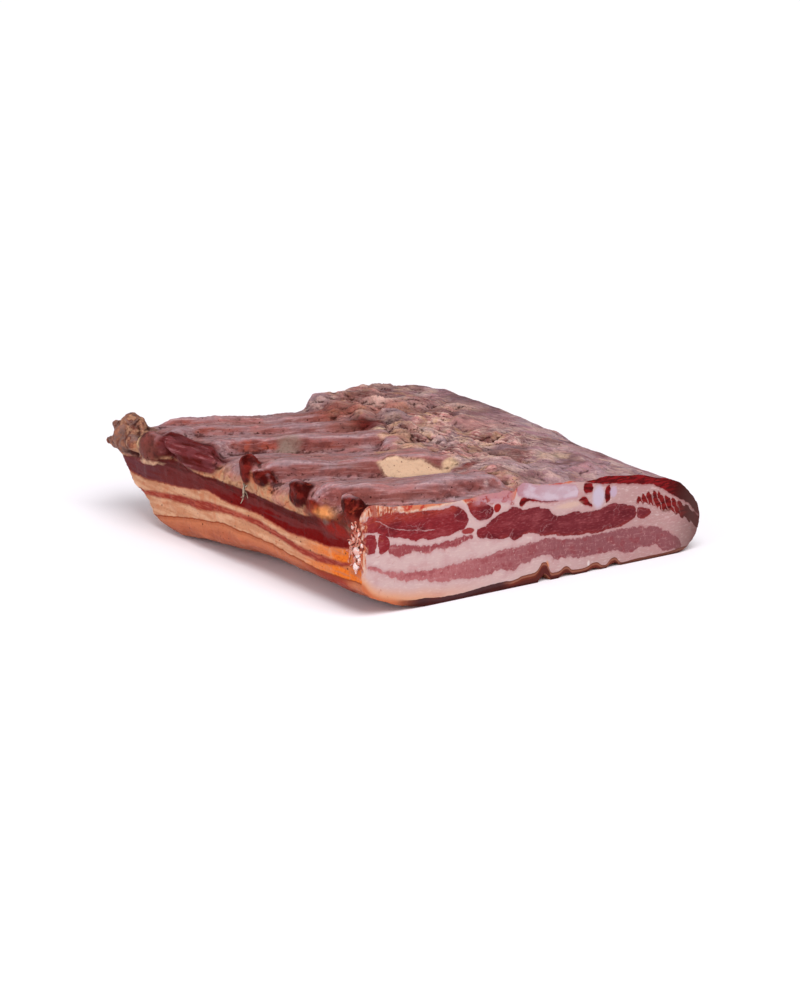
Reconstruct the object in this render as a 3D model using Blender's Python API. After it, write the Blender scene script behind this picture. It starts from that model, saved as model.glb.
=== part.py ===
"""Flat pancetta: half of a cured pork-belly slab, one solid piece of meat, lying on its rind.

The slab is measured from its near corner, where the fresh cut (Y = 0) meets the dried rib
side (X = 0). All sizes below are millimetres. The finished solid is moved so that the
origin is the centre of its footprint, on the surface it rests on.
"""

import math

import bmesh
import bpy
from mathutils import Euler, Matrix, Vector, noise

MM = 0.001

# Driving dimensions
WIDTH = 220.0  # rib side to belly edge, along the fresh cut
LENGTH = 240.0  # fresh cut to the far end, along the top
TRIANGLES = 10800  # of the finished solid
SPARE = 4.0  # modelled beyond the fresh cut, then cut off to give it a crisp edge
REST_SPARE = 0.6  # modelled below the resting face, then cut off flat
GRAIN = 1.45  # size of the grid that blends the lumps into the slab
SMOOTHING = 3
WELD = 0.1  # points closer than this become one
PRESS = 0.08  # points this near to the two flat faces are put back on them

# Rows of the mesh before it is thinned out
ROWS_ACROSS = 124
ROWS_ALONG = 112
ROWS_UP = 20
CROWDING = 0.07  # how much closer the rows stand at the edges

# Top edge of the fresh cut: (distance from the near corner, height)
CUT_TOP_RIGHT = (
    (92, 55), (98, 56.5), (105, 54), (125, 52), (150, 50.5), (170, 48.5), (185, 46),
    (200, 41), (209, 35.5), (215, 30), (219, 24), (220, 20),
)
# The same line at the far end of the slab, where the belly edge is thicker
FAR_TOP_RIGHT = (
    (92, 52), (122, 49.5), (146, 48.5), (170, 48.5), (190, 47.8), (204, 46.5), (212, 43.6),
    (217, 38), (220, 29),
)
FAR_FROM, FAR_FULL = 25.0, 180.0  # the first line turns into the second between these

# Channels that the ribs left, each as (X, Y) points along its floor
CHANNELS = (
    ((0, -26), (30, -40), (60, -55), (120, -70)),
    ((0, 31), (20, 15), (40, 5), (60, 1), (92, 0), (120, -4)),
    ((0, 88), (12, 84), (31, 74), (62, 60), (88, 44), (120, 30)),
    ((0, 138), (15, 151), (31, 151), (45, 140), (64, 124), (90, 113), (125, 100)),
    ((0, 190), (30, 200), (48, 194), (62, 181), (85, 166), (125, 150)),
    ((0, 236), (30, 229), (55, 219), (82, 210), (98, 197), (125, 176)),
    ((0, 275), (60, 262), (125, 240)),
)
RIDGE_HEIGHTS = (8.5, 9.5, 9.0, 8.5, 6.5, 5.0)
RIDGE_STEEP = 0.16  # share of a ridge's width taken by its steep near side
CHANNEL_FLOOR = 52.3  # height of the channel floors at the fresh cut
CHANNEL_FALL = 0.027  # how fast the floors sink towards the far end
FAR_SAG = 4.2  # how far the ridges sink at the far end, next to the rough zone
EDGE_DROP, EDGE_DROP_WIDTH = 6.5, 11.0  # the top rolls down to the rib side

# Left edge of the rough cartilage zone: (Y, X)
ROUGH_EDGE = (
    (0, 95), (12, 92), (30, 86), (48, 88), (62, 94), (82, 95), (100, 88), (114, 94),
    (130, 106), (150, 111), (185, 112), (210, 117), (240, 124),
)
ROUGH_STEP = 9.0  # width of the slope up to the rough zone
ROUGH_LIFT = 2.0
CRAG_HEIGHT = 5.6
CRAG_SIZE = 15.0
KNOB_HEIGHT = 3.0
KNOB_SIZE = 7.5
SMOOTH_FROM, SMOOTH_FULL = 158.0, 186.0  # crags die out towards the belly edge

# Clefts in the top: (points along it as (X, Y), half width, depth)
CLEFTS = (
    (((97, -2), (93, 7), (87, 13), (76, 18)), 2.2, 7.0),
    (((106, 122), (113, 134), (124, 150), (131, 164)), 2.6, 6.0),
    (((84, 103), (91, 99), (99, 103)), 1.8, 3.5),
    (((172, 176), (180, 184), (190, 190)), 2.4, 4.0),
    (((118, 62), (128, 70), (140, 72)), 2.0, 3.0),
)
FAT_PATCH = ((79, 73), 16.0, 21.0)  # smooth patch of bare fat: centre, half sizes
FAT_PATCH_LIFT = 1.6

# Underside: the rind curls up along the rib side
CURL_HEIGHT = (
    (0, 13.5), (20, 12.5), (45, 12.5), (80, 13.5), (100, 12.7), (130, 8.2), (150, 6.4),
    (172, 2.6), (188, 2.4), (200, 4.5),
)
CURL_WIDTH = 50.0
CURL_POWER = 1.9
# Underside at the belly edge: (X, height)
BELLY_UNDER = ((196, 0), (205, 0.7), (211, 2.6), (216, 7), (219, 12), (220, 16))
# Creases of the wrinkled rind, seen end-on in the cut: (X, height, half width)
RIND_CREASES = ((115.5, 7.5, 2.6), (130, 3.2, 4.6), (148, 2.6, 4.2), (161.5, 3.4, 4.0))
CREASE_LENGTH = 75.0
CREASE_SWAY = 5.0

# Far end: Y of its wall by share of the height, at the rib side and at the belly edge
FAR_END_RIB = (
    (0, 198), (0.1, 205), (0.24, 210), (0.41, 222), (0.53, 230), (0.75, 238), (0.9, 238.5),
    (1, 235.5),
)
FAR_END_BELLY = ((0, 214), (0.25, 228), (0.6, 238), (0.85, 239), (1, 234))
FAR_END_ROUGH = 1.3
FAR_CORNER = 24.0  # radius of the far belly corner, seen from above

# Rib side: lean shrinks more than fat, so it is hollow: (height, depth) at the near corner
SIDE_PROFILE = (
    (12, 2.2), (15, 0.3), (21, 0.0), (25, 0.7), (29, 0.1), (35, 1.6), (40, 1.8), (44, 0.3),
    (50, 0.6), (58, 2.5),
)
SIDE_REACH = 14.0  # how far in the rib side's relief is felt

# Lumps fused to the slab: (centre, half sizes, turn in degrees about X Y Z, crag depth)
LUMPS = (
    # ends of the muscles between the ribs
    ((3, 9, 53.8), (5.4, 12.0, 6.6), (20, 0, 0), 2.2),
    ((2.5, 57.5, 52.0), (5.2, 10.2, 6.4), (22, 0, 0), 1.7),
    ((2, 43, 48.0), (4.0, 8.4, 4.6), (8, 0, 0), 1.2),
    ((2.5, 107, 55.0), (5.4, 6.4, 7.8), (10, 0, 0), 1.6),
    ((2.5, 93, 52.4), (4.6, 8.4, 4.2), (8, 0, 0), 1.4),
    # muscle bundles lying along the upper edge
    ((1, 164, 49.5), (5.0, 27.0, 4.4), (12, 0, 3), 1.4),
    ((4, 166, 52.6), (6.0, 29.0, 3.6), (5, 0, -4), 1.3),
    ((0, 160, 45.6), (3.6, 20.0, 2.6), (13, 0, 0), 1.0),
    # flap folded down over the rib side, and its lip
    ((0, 200, 46.5), (6.4, 14.5, 9.2), (-8, 0, 0), 1.8),
    ((-4.2, 201, 38.8), (2.4, 12.5, 2.0), (-4, 0, 0), 0.6),
    ((-1, 219, 44.6), (4.8, 7.5, 4.2), (18, 0, 0), 1.2),
    # gristle and rib stump at the far corner
    ((6, 232, 43.6), (11.0, 12.5, 9.2), (0, 0, 0), 3.0),
    ((6, 233.5, 52.8), (6.8, 6.4, 5.0), (-4, 6, 12), 1.4),
    ((2, 241, 50.0), (3.4, 8.0, 2.4), (12, 0, -8), 1.0),
    ((2, 244, 39.6), (4.0, 11.5, 3.0), (3, 0, -6), 1.2),
    # nodules of cartilage in the rough zone
    ((92, 103, 53.0), (7.5, 6.5, 5.5), (0, 0, 25), 2.4),
    ((104, 112, 53.5), (7.0, 10.0, 5.5), (0, 12, -35), 2.6),
    ((116, 128, 53.5), (7.5, 12.0, 5.5), (0, 10, -38), 2.8),
    ((97, 60, 53.0), (5.0, 4.6, 4.0), (0, 0, 0), 1.4),
    ((153, 55, 50.5), (10.0, 9.0, 4.0), (0, 8, 20), 2.4),
    ((134, 165, 51.5), (9.0, 12.0, 5.0), (0, 0, -30), 2.8),
    ((128, 226, 46.5), (9.0, 9.0, 5.0), (0, 0, 10), 2.6),
)
LUMP_CRAG_SIZE = 6.0


def ease(low, high, value):
    """0 below low, 1 above high, and a smooth rise between."""
    share = min(1.0, max(0.0, (value - low) / (high - low)))
    return share * share * (3.0 - 2.0 * share)


def mix(first, second, share):
    return first + (second - first) * share


def through(points, at):
    """Height at a place of a smooth line through the points, level beyond its ends."""
    last = len(points) - 1
    if at <= points[0][0]:
        return points[0][1]
    if at >= points[last][0]:
        return points[last][1]
    k = next(i for i in range(last) if at <= points[i + 1][0])
    before, start = points[max(k - 1, 0)], points[k]
    end, after = points[k + 1], points[min(k + 2, last)]
    span = end[0] - start[0]
    share = (at - start[0]) / span
    slope_in = (end[1] - before[1]) / (end[0] - before[0]) * span
    slope_out = (after[1] - start[1]) / (after[0] - start[0]) * span
    square, cube = share * share, share**3
    return (
        start[1] * (2 * cube - 3 * square + 1)
        + slope_in * (cube - 2 * square + share)
        + end[1] * (3 * square - 2 * cube)
        + slope_out * (cube - square)
    )


def gap_to(path, x, y):
    """Distance in plan from a point to a path."""
    point = Vector((x, y))
    nearest = 1e9
    for start, end in zip(path, path[1:]):
        a, b = Vector(start), Vector(end)
        run = b - a
        share = min(1.0, max(0.0, (point - a).dot(run) / run.length_squared))
        nearest = min(nearest, (point - a - run * share).length)
    return nearest


def crags(x, y, z, size):
    """Folded, knobbly relief between about -1 and 1."""
    place = Vector((x, y, z)) / size
    warp = noise.noise_vector(place * 0.8) * 0.5
    cells = noise.voronoi(place + warp, distance_metric="DISTANCE")[0]
    return 1.2 - 2.0 * cells[0] + 0.5 * noise.noise(place * 1.7)


def in_fat_patch(x, y):
    """1 inside the smooth patch of bare fat, 0 well outside it."""
    (cx, cy), half_x, half_y = FAT_PATCH
    lean_over = (y - cy) * 0.35
    away = math.hypot((x - cx - lean_over) / half_x, (y - cy) / half_y)
    return 1.0 - ease(0.75, 1.1, away)


def ridge_height(x, y):
    """Height of the ribbed half: muscles standing between the channels of the ribs."""
    floors = [through(channel, x) for channel in CHANNELS]
    k = max(i for i in range(len(floors) - 1) if i == 0 or y >= floors[i])
    share = min(1.0, max(0.0, (y - floors[k]) / (floors[k + 1] - floors[k])))
    rise = ease(0.0, RIDGE_STEEP, share)
    fall = 1.0 - max(0.0, (share - RIDGE_STEEP) / (1.0 - RIDGE_STEEP)) ** 1.35
    sway = 1.0 + 0.22 * noise.noise(Vector((x, y, 3.0)) / 26.0)
    height = CHANNEL_FLOOR - CHANNEL_FALL * y + RIDGE_HEIGHTS[k] * sway * rise * fall
    height -= FAR_SAG * ease(35.0, 95.0, x) * ease(150.0, 235.0, y)
    grain = noise.noise(Vector((x * 0.5 + y * 0.45, y - x * 0.2, 0.0)) / 7.0)
    return height + 0.7 * grain


def rough_height(x, y):
    """Height of the cartilage half, with its crags."""
    near, far = through(CUT_TOP_RIGHT, x), through(FAR_TOP_RIGHT, x)
    height = mix(near, far, ease(FAR_FROM, FAR_FULL, y))
    rough = (1.0 - 0.82 * ease(SMOOTH_FROM, SMOOTH_FULL, x)) * ease(1.0, 14.0, y)
    rough *= 1.0 - in_fat_patch(x, y)
    height += ROUGH_LIFT * rough
    height += rough * CRAG_HEIGHT * 0.5 * crags(x, y, 0.0, CRAG_SIZE)
    height += rough * KNOB_HEIGHT * 0.5 * crags(x + 31.0, y, 5.0, KNOB_SIZE)
    return height + 0.8 * noise.noise(Vector((x, y * 0.7, 9.0)) / 18.0)


def top_height(x, y):
    edge = through(ROUGH_EDGE, y) + 2.5 * noise.noise(Vector((x, y, 1.0)) / 9.0)
    share = ease(edge - ROUGH_STEP / 2, edge + ROUGH_STEP / 2, x)
    height = mix(ridge_height(x, y), rough_height(x, y), share)
    height += FAT_PATCH_LIFT * in_fat_patch(x, y)
    height -= EDGE_DROP * max(0.0, 1.0 - x / EDGE_DROP_WIDTH) ** 2 * ease(-4, 26, y)
    for path, half_width, depth in CLEFTS:
        height -= depth * math.exp(-((gap_to(path, x, y) / half_width) ** 2))
    return height


def under_height(x, y):
    curl = through(CURL_HEIGHT, y) * max(0.0, 1.0 - x / CURL_WIDTH) ** CURL_POWER
    height = curl + through(BELLY_UNDER, x)
    for centre, crease, half_width in RIND_CREASES:
        middle = centre + CREASE_SWAY * math.sin(y / 21.0 + centre)
        middle -= CREASE_SWAY * math.sin(centre)
        reach = (1.0 - ease(0.25 * CREASE_LENGTH, CREASE_LENGTH, y)) * crease
        height += reach * math.exp(-(((x - middle) / half_width) ** 2))
    return height


def side_depth(y, z, low):
    """How far the rib side is hollowed at a height, following its layers."""
    lift = through(CURL_HEIGHT, y) - CURL_HEIGHT[0][1]
    level = z - lift * (1.0 - ease(20.0, 45.0, z))
    wave = 0.8 * noise.noise(Vector((0.0, y, z * 2.0)) / 16.0)
    return through(SIDE_PROFILE, level) + wave + 1.8 * math.exp(-(z - low) / 1.6)


def crowd(share):
    """Moves rows closer together at both ends."""
    return share - CROWDING * math.sin(2.0 * math.pi * share)


def place(across, along, up):
    """Where a point of the unit block comes to lie, in millimetres."""
    turned = max(0.0, 1.0 - (1.0 - along) * LENGTH / FAR_CORNER)
    reach = WIDTH - FAR_CORNER * (1.0 - math.sqrt(1.0 - turned * turned))
    x = crowd(across) * reach
    far = mix(
        through(FAR_END_RIB, up),
        through(FAR_END_BELLY, up),
        ease(0.0, 0.45 * WIDTH, x),
    )
    y = crowd(along) * (far + SPARE) - SPARE
    low, high = under_height(x, y) - REST_SPARE, top_height(x, y)
    z = mix(low, high, up)
    back = ease(0.8, 1.0, along)
    y += back * FAR_END_ROUGH * noise.noise(Vector((x, 0.0, z * 1.6)) / 13.0)
    if x < SIDE_REACH:
        x += side_depth(y, z, low) * (1.0 - x / SIDE_REACH) ** 2
    return Vector((x, y, z))


def unit_block(block):
    """Fills a bmesh with a closed block of rows, one unit in size."""
    made = bmesh.ops.create_grid(
        block, x_segments=ROWS_ACROSS, y_segments=ROWS_ALONG, size=0.5
    )
    bmesh.ops.translate(block, verts=made["verts"], vec=(0.5, 0.5, 0.0))
    layer = list(block.faces)
    for row in range(ROWS_UP):
        made = bmesh.ops.extrude_face_region(
            block, geom=layer, use_keep_orig=(row == 0)
        )
        raised = [v for v in made["geom"] if isinstance(v, bmesh.types.BMVert)]
        bmesh.ops.translate(block, verts=raised, vec=(0.0, 0.0, 1.0 / ROWS_UP))
        if row > 0:
            bmesh.ops.delete(block, geom=layer, context="FACES_ONLY")
        layer = [f for f in made["geom"] if isinstance(f, bmesh.types.BMFace)]


def meat_material():
    """The dried, mauve surface of the meat."""
    material = bpy.data.materials.new("cured_meat")
    material.use_nodes = True
    shader = material.node_tree.nodes["Principled BSDF"]
    shader.inputs["Base Color"].default_value = (0.33, 0.13, 0.11, 1.0)
    shader.inputs["Roughness"].default_value = 0.5
    shader.inputs["Metallic"].default_value = 0.0
    return material


def object_from(block, name, collection):
    mesh = bpy.data.meshes.new(name)
    block.to_mesh(mesh)
    block.free()
    made = bpy.data.objects.new(name, mesh)
    collection.objects.link(made)
    return made


def apply_modifiers(thing):
    """Gives the object the mesh that its modifiers make, and removes them."""
    graph = bpy.context.evaluated_depsgraph_get()
    mesh = bpy.data.meshes.new_from_object(thing.evaluated_get(graph))
    thing.modifiers.clear()
    thing.data = mesh


def slab(collection):
    """The slab itself, in fine rows."""
    block = bmesh.new()
    unit_block(block)
    for vert in block.verts:
        vert.co = place(*vert.co) * MM
    bmesh.ops.recalc_face_normals(block, faces=block.faces)
    return object_from(block, "pancetta", collection)


def lump(number, centre, half_sizes, turn, crag, collection):
    """A knobbly lump, as a closed ball drawn out to its half sizes."""
    block = bmesh.new()
    bmesh.ops.create_icosphere(block, subdivisions=3, radius=1.0)
    turned = Euler([math.radians(angle) for angle in turn]).to_matrix()
    for vert in block.verts:
        outward = vert.co.normalized()
        body = Vector([s * c for s, c in zip(half_sizes, vert.co)])
        spot = (body + Vector(centre)) / LUMP_CRAG_SIZE + Vector((0.0, 0.0, number))
        body += outward * crag * noise.noise(spot)
        vert.co = (turned @ body + Vector(centre)) * MM
    return object_from(block, f"lump_{number:02d}", collection)


def fuse_lumps(body):
    """Joins the lumps to the slab with one Boolean union."""
    extras = bpy.data.collections.new("lumps")
    bpy.context.scene.collection.children.link(extras)
    for number, (centre, half_sizes, turn, crag) in enumerate(LUMPS):
        lump(number, centre, half_sizes, turn, crag, extras)
    union = body.modifiers.new("fuse", "BOOLEAN")
    union.operation = "UNION"
    union.operand_type = "COLLECTION"
    union.collection = extras
    union.solver = "MANIFOLD"
    apply_modifiers(body)
    for thing in list(extras.objects):
        bpy.data.objects.remove(thing)
    bpy.data.collections.remove(extras)


def blend(body):
    """Melts the lumps into the slab, as one skin over both."""
    skin = body.modifiers.new("skin", "REMESH")
    skin.mode = "VOXEL"
    skin.voxel_size = GRAIN * MM
    smooth = body.modifiers.new("smooth", "SMOOTH")
    smooth.factor = 0.5
    smooth.iterations = SMOOTHING
    apply_modifiers(body)


def slice_flat(body, place_on, outward):
    """Cuts the solid along a plane and closes the cut with one flat face."""
    block = bmesh.new()
    block.from_mesh(body.data)
    made = bmesh.ops.bisect_plane(
        block,
        geom=block.verts[:] + block.edges[:] + block.faces[:],
        plane_co=Vector(place_on) * MM,
        plane_no=outward,
        clear_outer=True,
    )
    rim = [e for e in made["geom_cut"] if isinstance(e, bmesh.types.BMEdge)]
    bmesh.ops.contextual_create(block, geom=rim)
    bmesh.ops.recalc_face_normals(block, faces=block.faces)
    block.to_mesh(body.data)
    block.free()


def thin_out(body):
    """Keeps only the triangles that the shape needs."""
    block = bmesh.new()
    block.from_mesh(body.data)
    bmesh.ops.remove_doubles(block, verts=block.verts, dist=WELD * MM)
    bmesh.ops.dissolve_degenerate(block, edges=block.edges, dist=WELD * MM / 2)
    bmesh.ops.triangulate(block, faces=block.faces)
    block.to_mesh(body.data)
    block.free()
    thin = body.modifiers.new("thin", "DECIMATE")
    thin.ratio = TRIANGLES / len(body.data.polygons)
    apply_modifiers(body)


def press_flat(body):
    """Makes the fresh cut and the resting face exactly flat."""
    for vert in body.data.vertices:
        if abs(vert.co.y) < PRESS * MM:
            vert.co.y = 0.0
        if abs(vert.co.z) < PRESS * MM:
            vert.co.z = 0.0


def stand_on_origin(body):
    """Moves the solid so that its footprint is centred on the origin."""
    spots = [vert.co for vert in body.data.vertices]
    low = Vector([min(spot[axis] for spot in spots) for axis in range(3)])
    high = Vector([max(spot[axis] for spot in spots) for axis in range(3)])
    shift = Vector(((low.x + high.x) / 2, (low.y + high.y) / 2, low.z))
    body.data.transform(Matrix.Translation(-shift))


def main():
    for thing in list(bpy.data.objects):
        bpy.data.objects.remove(thing)
    body = slab(bpy.context.scene.collection)
    fuse_lumps(body)
    blend(body)
    slice_flat(body, (0, 0, 0), (0, -1, 0))
    slice_flat(body, (0, 0, 0), (0, 0, -1))
    thin_out(body)
    press_flat(body)
    stand_on_origin(body)
    body.data.materials.clear()
    body.data.materials.append(meat_material())


main()
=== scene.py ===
"""Pancetta: half of a cured pork-belly slab on a pale floor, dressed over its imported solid.

Lengths are millimetres measured from the slab's near corner, where the fresh cut (Y = 0)
meets the dried rib side (X = 0), unless a name ends in _m.
"""

from __future__ import annotations

import functools
import logging
import math
from dataclasses import dataclass, field
from enum import Enum

import bmesh
import bpy
import numpy as np
from mathutils import Matrix, Vector, noise
from mathutils.bvhtree import BVHTree

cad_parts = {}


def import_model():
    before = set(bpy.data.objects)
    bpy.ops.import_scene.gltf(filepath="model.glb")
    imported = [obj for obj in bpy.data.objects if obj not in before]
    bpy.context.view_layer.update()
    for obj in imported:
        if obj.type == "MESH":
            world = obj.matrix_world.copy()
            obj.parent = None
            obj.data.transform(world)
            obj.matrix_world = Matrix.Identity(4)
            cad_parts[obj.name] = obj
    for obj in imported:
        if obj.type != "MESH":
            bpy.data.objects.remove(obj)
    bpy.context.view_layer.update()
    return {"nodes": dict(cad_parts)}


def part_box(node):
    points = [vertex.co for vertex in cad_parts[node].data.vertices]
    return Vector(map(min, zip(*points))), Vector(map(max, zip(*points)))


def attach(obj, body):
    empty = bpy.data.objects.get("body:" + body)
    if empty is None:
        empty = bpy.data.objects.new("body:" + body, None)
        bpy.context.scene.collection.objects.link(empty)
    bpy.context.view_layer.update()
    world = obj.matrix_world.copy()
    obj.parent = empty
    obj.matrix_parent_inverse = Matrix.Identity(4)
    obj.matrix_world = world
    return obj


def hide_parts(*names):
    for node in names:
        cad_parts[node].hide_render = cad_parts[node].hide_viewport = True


LOG = logging.getLogger("pancetta")
NODE = "pancetta"
BODY = "root"
MM = 0.001
SEED = 5  # for mathutils' noise vectors, which otherwise change with the clock
CUT_WIDTH = 220.0  # near corner to belly edge, along the fresh cut
STUDIO_LIGHT = 1.18  # how much brighter than its own colour a surface looks in the studio

Colour = tuple[float, float, float]
Line = tuple[tuple[float, float], ...]

TORN_STRINGS = (  # Y, Z, way along Y, way along Z, length, radius
    (1.8, 51.0, 0.3, -1.0, 7.0, 0.6), (4.6, 50.0, -0.3, -1.0, 6.0, 0.5),
    (1.0, 47.5, 0.2, -1.0, 9.0, 0.7), (3.4, 45.0, 0.4, -1.0, 8.0, 0.65),
    (6.4, 44.0, -0.5, -1.0, 7.0, 0.55), (1.2, 42.0, 0.6, -1.0, 7.5, 0.7),
    (8.8, 42.5, -0.1, -1.0, 7.0, 0.6), (3.8, 41.0, 1.0, -0.7, 7.0, 0.6),
    (1.0, 39.5, 1.0, -0.5, 8.0, 0.65), (6.0, 38.6, 1.0, 0.1, 6.0, 0.55),
    (10.8, 38.5, -0.2, -1.0, 7.0, 0.7), (2.0, 37.0, 0.6, 0.9, 5.0, 0.55),
    (8.0, 37.0, -0.9, -0.8, 6.0, 0.6), (3.0, 36.0, 0.2, -1.0, 7.5, 0.7),
    (0.8, 35.0, 0.9, -0.8, 6.5, 0.65), (10.0, 34.5, -0.9, -0.9, 6.0, 0.6),
    (6.0, 33.5, 1.0, 0.2, 6.0, 0.65), (1.4, 32.0, 0.5, -1.0, 6.0, 0.7),
    (8.6, 31.5, 0.9, 0.4, 4.5, 0.5), (4.0, 31.0, 0.8, -0.9, 5.5, 0.65),
    (11.2, 31.8, -0.3, -1.0, 4.5, 0.5), (0.8, 29.0, 1.0, -0.2, 5.0, 0.6),
    (6.2, 29.6, -0.6, -1.0, 4.5, 0.55), (2.4, 28.0, 0.9, 0.6, 4.5, 0.5),
)
FAT_CRUMBS = (  # Y, Z, radius
    (4.4, 34.6, 1.9), (3.0, 33.4, 1.5), (5.6, 36.0, 1.1), (9.8, 35.2, 1.1), (10.0, 32.6, 0.9),
    (3.4, 26.8, 1.6), (3.9, 25.0, 1.1), (1.6, 30.4, 1.0), (6.6, 30.4, 0.9), (7.4, 39.8, 0.9),
    (1.6, 44.6, 1.0), (5.6, 47.2, 0.9), (11.8, 37.2, 0.8), (1.0, 38.0, 0.9),
)
STALK = (  # Y, Z, way along Y, way along Z, length, radius
    (107.6, 46.5, 0.25, -1.0, 11.0, 0.75), (107.8, 42.0, -1.0, -0.9, 4.5, 0.45),
    (108.8, 40.0, 1.0, -0.5, 4.0, 0.45), (107.0, 45.0, -1.0, 0.6, 3.5, 0.45),
)


@dataclass(frozen=True)
class NearCorner:
    """The slab's own frame: its origin is the near corner, on the floor.

    Args:
        origin: the corner's place in the part's frame, in metres.
    """

    origin: Vector

    @classmethod
    def of_node(cls, node: str) -> NearCorner:
        """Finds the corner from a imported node's box.

        Args:
            node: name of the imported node.

        Returns:
            The corner, level with the node's underside.
        """
        low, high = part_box(node)
        return cls(Vector((high[0] - CUT_WIDTH * MM, low[1], low[2])))

    def place(self, x: float, y: float, z: float) -> Vector:
        """Returns the point of the part's frame, in metres, for a place in millimetres."""
        return self.origin + Vector((x, y, z)) * MM


def eased(low: float, high: float, values: np.ndarray) -> np.ndarray:
    """Rises smoothly from 0 to 1.

    Args:
        low: value below which the result is 0.
        high: value above which it is 1.
        values: what is compared.

    Returns:
        An array as long as values.
    """
    share = np.clip((values - low) / (high - low), 0.0, 1.0)
    return share * share * (3.0 - 2.0 * share)


def cloud(spots: np.ndarray, size: float) -> np.ndarray:
    """Gives an even noise.

    Args:
        spots: points.
        size: size of its patches.

    Returns:
        A value about 0 for each point, mostly within half a unit.
    """
    return np.array([noise.noise(Vector(spot)) for spot in spots / size])


def linked(name: str, mesh: bpy.types.Mesh) -> bpy.types.Object:
    """Returns a new object that shows the mesh in the scene."""
    piece = bpy.data.objects.new(name, mesh)
    bpy.context.scene.collection.objects.link(piece)
    return piece


def settle_modifiers(piece: bpy.types.Object) -> None:
    """Gives the piece the mesh that its modifiers make, and takes them off."""
    graph = bpy.context.evaluated_depsgraph_get()
    mesh = bpy.data.meshes.new_from_object(piece.evaluated_get(graph))
    piece.modifiers.clear()
    piece.data = mesh


# ---------------------------------------------------------------- materials


def tone(red: int, green: int, blue: int) -> Colour:
    """Gives a colour as shaders need it.

    Args:
        red: the red seen on a screen, from 0 to 255.
        green: the green.
        blue: the blue.

    Returns:
        The linear colour.
    """
    shares = (value / 255.0 for value in (red, green, blue))
    linear = (v / 12.92 if v <= 0.04045 else ((v + 0.055) / 1.055) ** 2.4 for v in shares)
    return tuple(v / STUDIO_LIGHT for v in linear)


class Wire:
    """A value, vector or colour in a material's node tree. Arithmetic on it adds nodes."""

    def __init__(self, paint: Painter, socket: bpy.types.NodeSocket) -> None:
        """Keeps the tree's painter and the output socket."""
        self.paint = paint
        self.socket = socket

    def __add__(self, other: Value) -> Wire:
        """Returns the sum."""
        return self.paint.math("ADD", self, other)

    def __radd__(self, other: float) -> Wire:
        """Returns the sum."""
        return self.paint.math("ADD", other, self)

    def __sub__(self, other: Value) -> Wire:
        """Returns the difference."""
        return self.paint.math("SUBTRACT", self, other)

    def __rsub__(self, other: float) -> Wire:
        """Returns the difference."""
        return self.paint.math("SUBTRACT", other, self)

    def __mul__(self, other: Value) -> Wire:
        """Returns the product."""
        return self.paint.math("MULTIPLY", self, other)

    def __truediv__(self, other: Value) -> Wire:
        """Returns the quotient."""
        return self.paint.math("DIVIDE", self, other)

    def __abs__(self) -> Wire:
        """Returns the value without its sign."""
        return self.paint.math("ABSOLUTE", self)

    def rise(self, low: Value, high: Value, most: float = 1.0, least: float = 0.0) -> Wire:
        """Maps the value smoothly.

        Args:
            low: value that gives the least.
            high: value that gives the most.
            most: the result from high on.
            least: the result up to low.

        Returns:
            The mapped value.
        """
        made = self.paint.node("ShaderNodeMapRange", interpolation_type="SMOOTHSTEP")
        names = ("Value", "From Min", "From Max", "To Min", "To Max")
        for name, given in zip(names, (self, low, high, least, most)):
            self.paint.join(given, made.inputs[name])
        return Wire(self.paint, made.outputs[0])

    def fall(self, low: Value, high: Value, most: float = 1.0) -> Wire:
        """Returns most up to low and 0 from high on."""
        return self.rise(low, high, 0.0, most)

    def between(self, low: float, high: float, soft: float) -> Wire:
        """Returns 1 between low and high and 0 outside, with soft ends."""
        return self.rise(low - soft, low + soft) * self.fall(high - soft, high + soft)


Value = Wire | float  # what a socket takes


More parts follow.
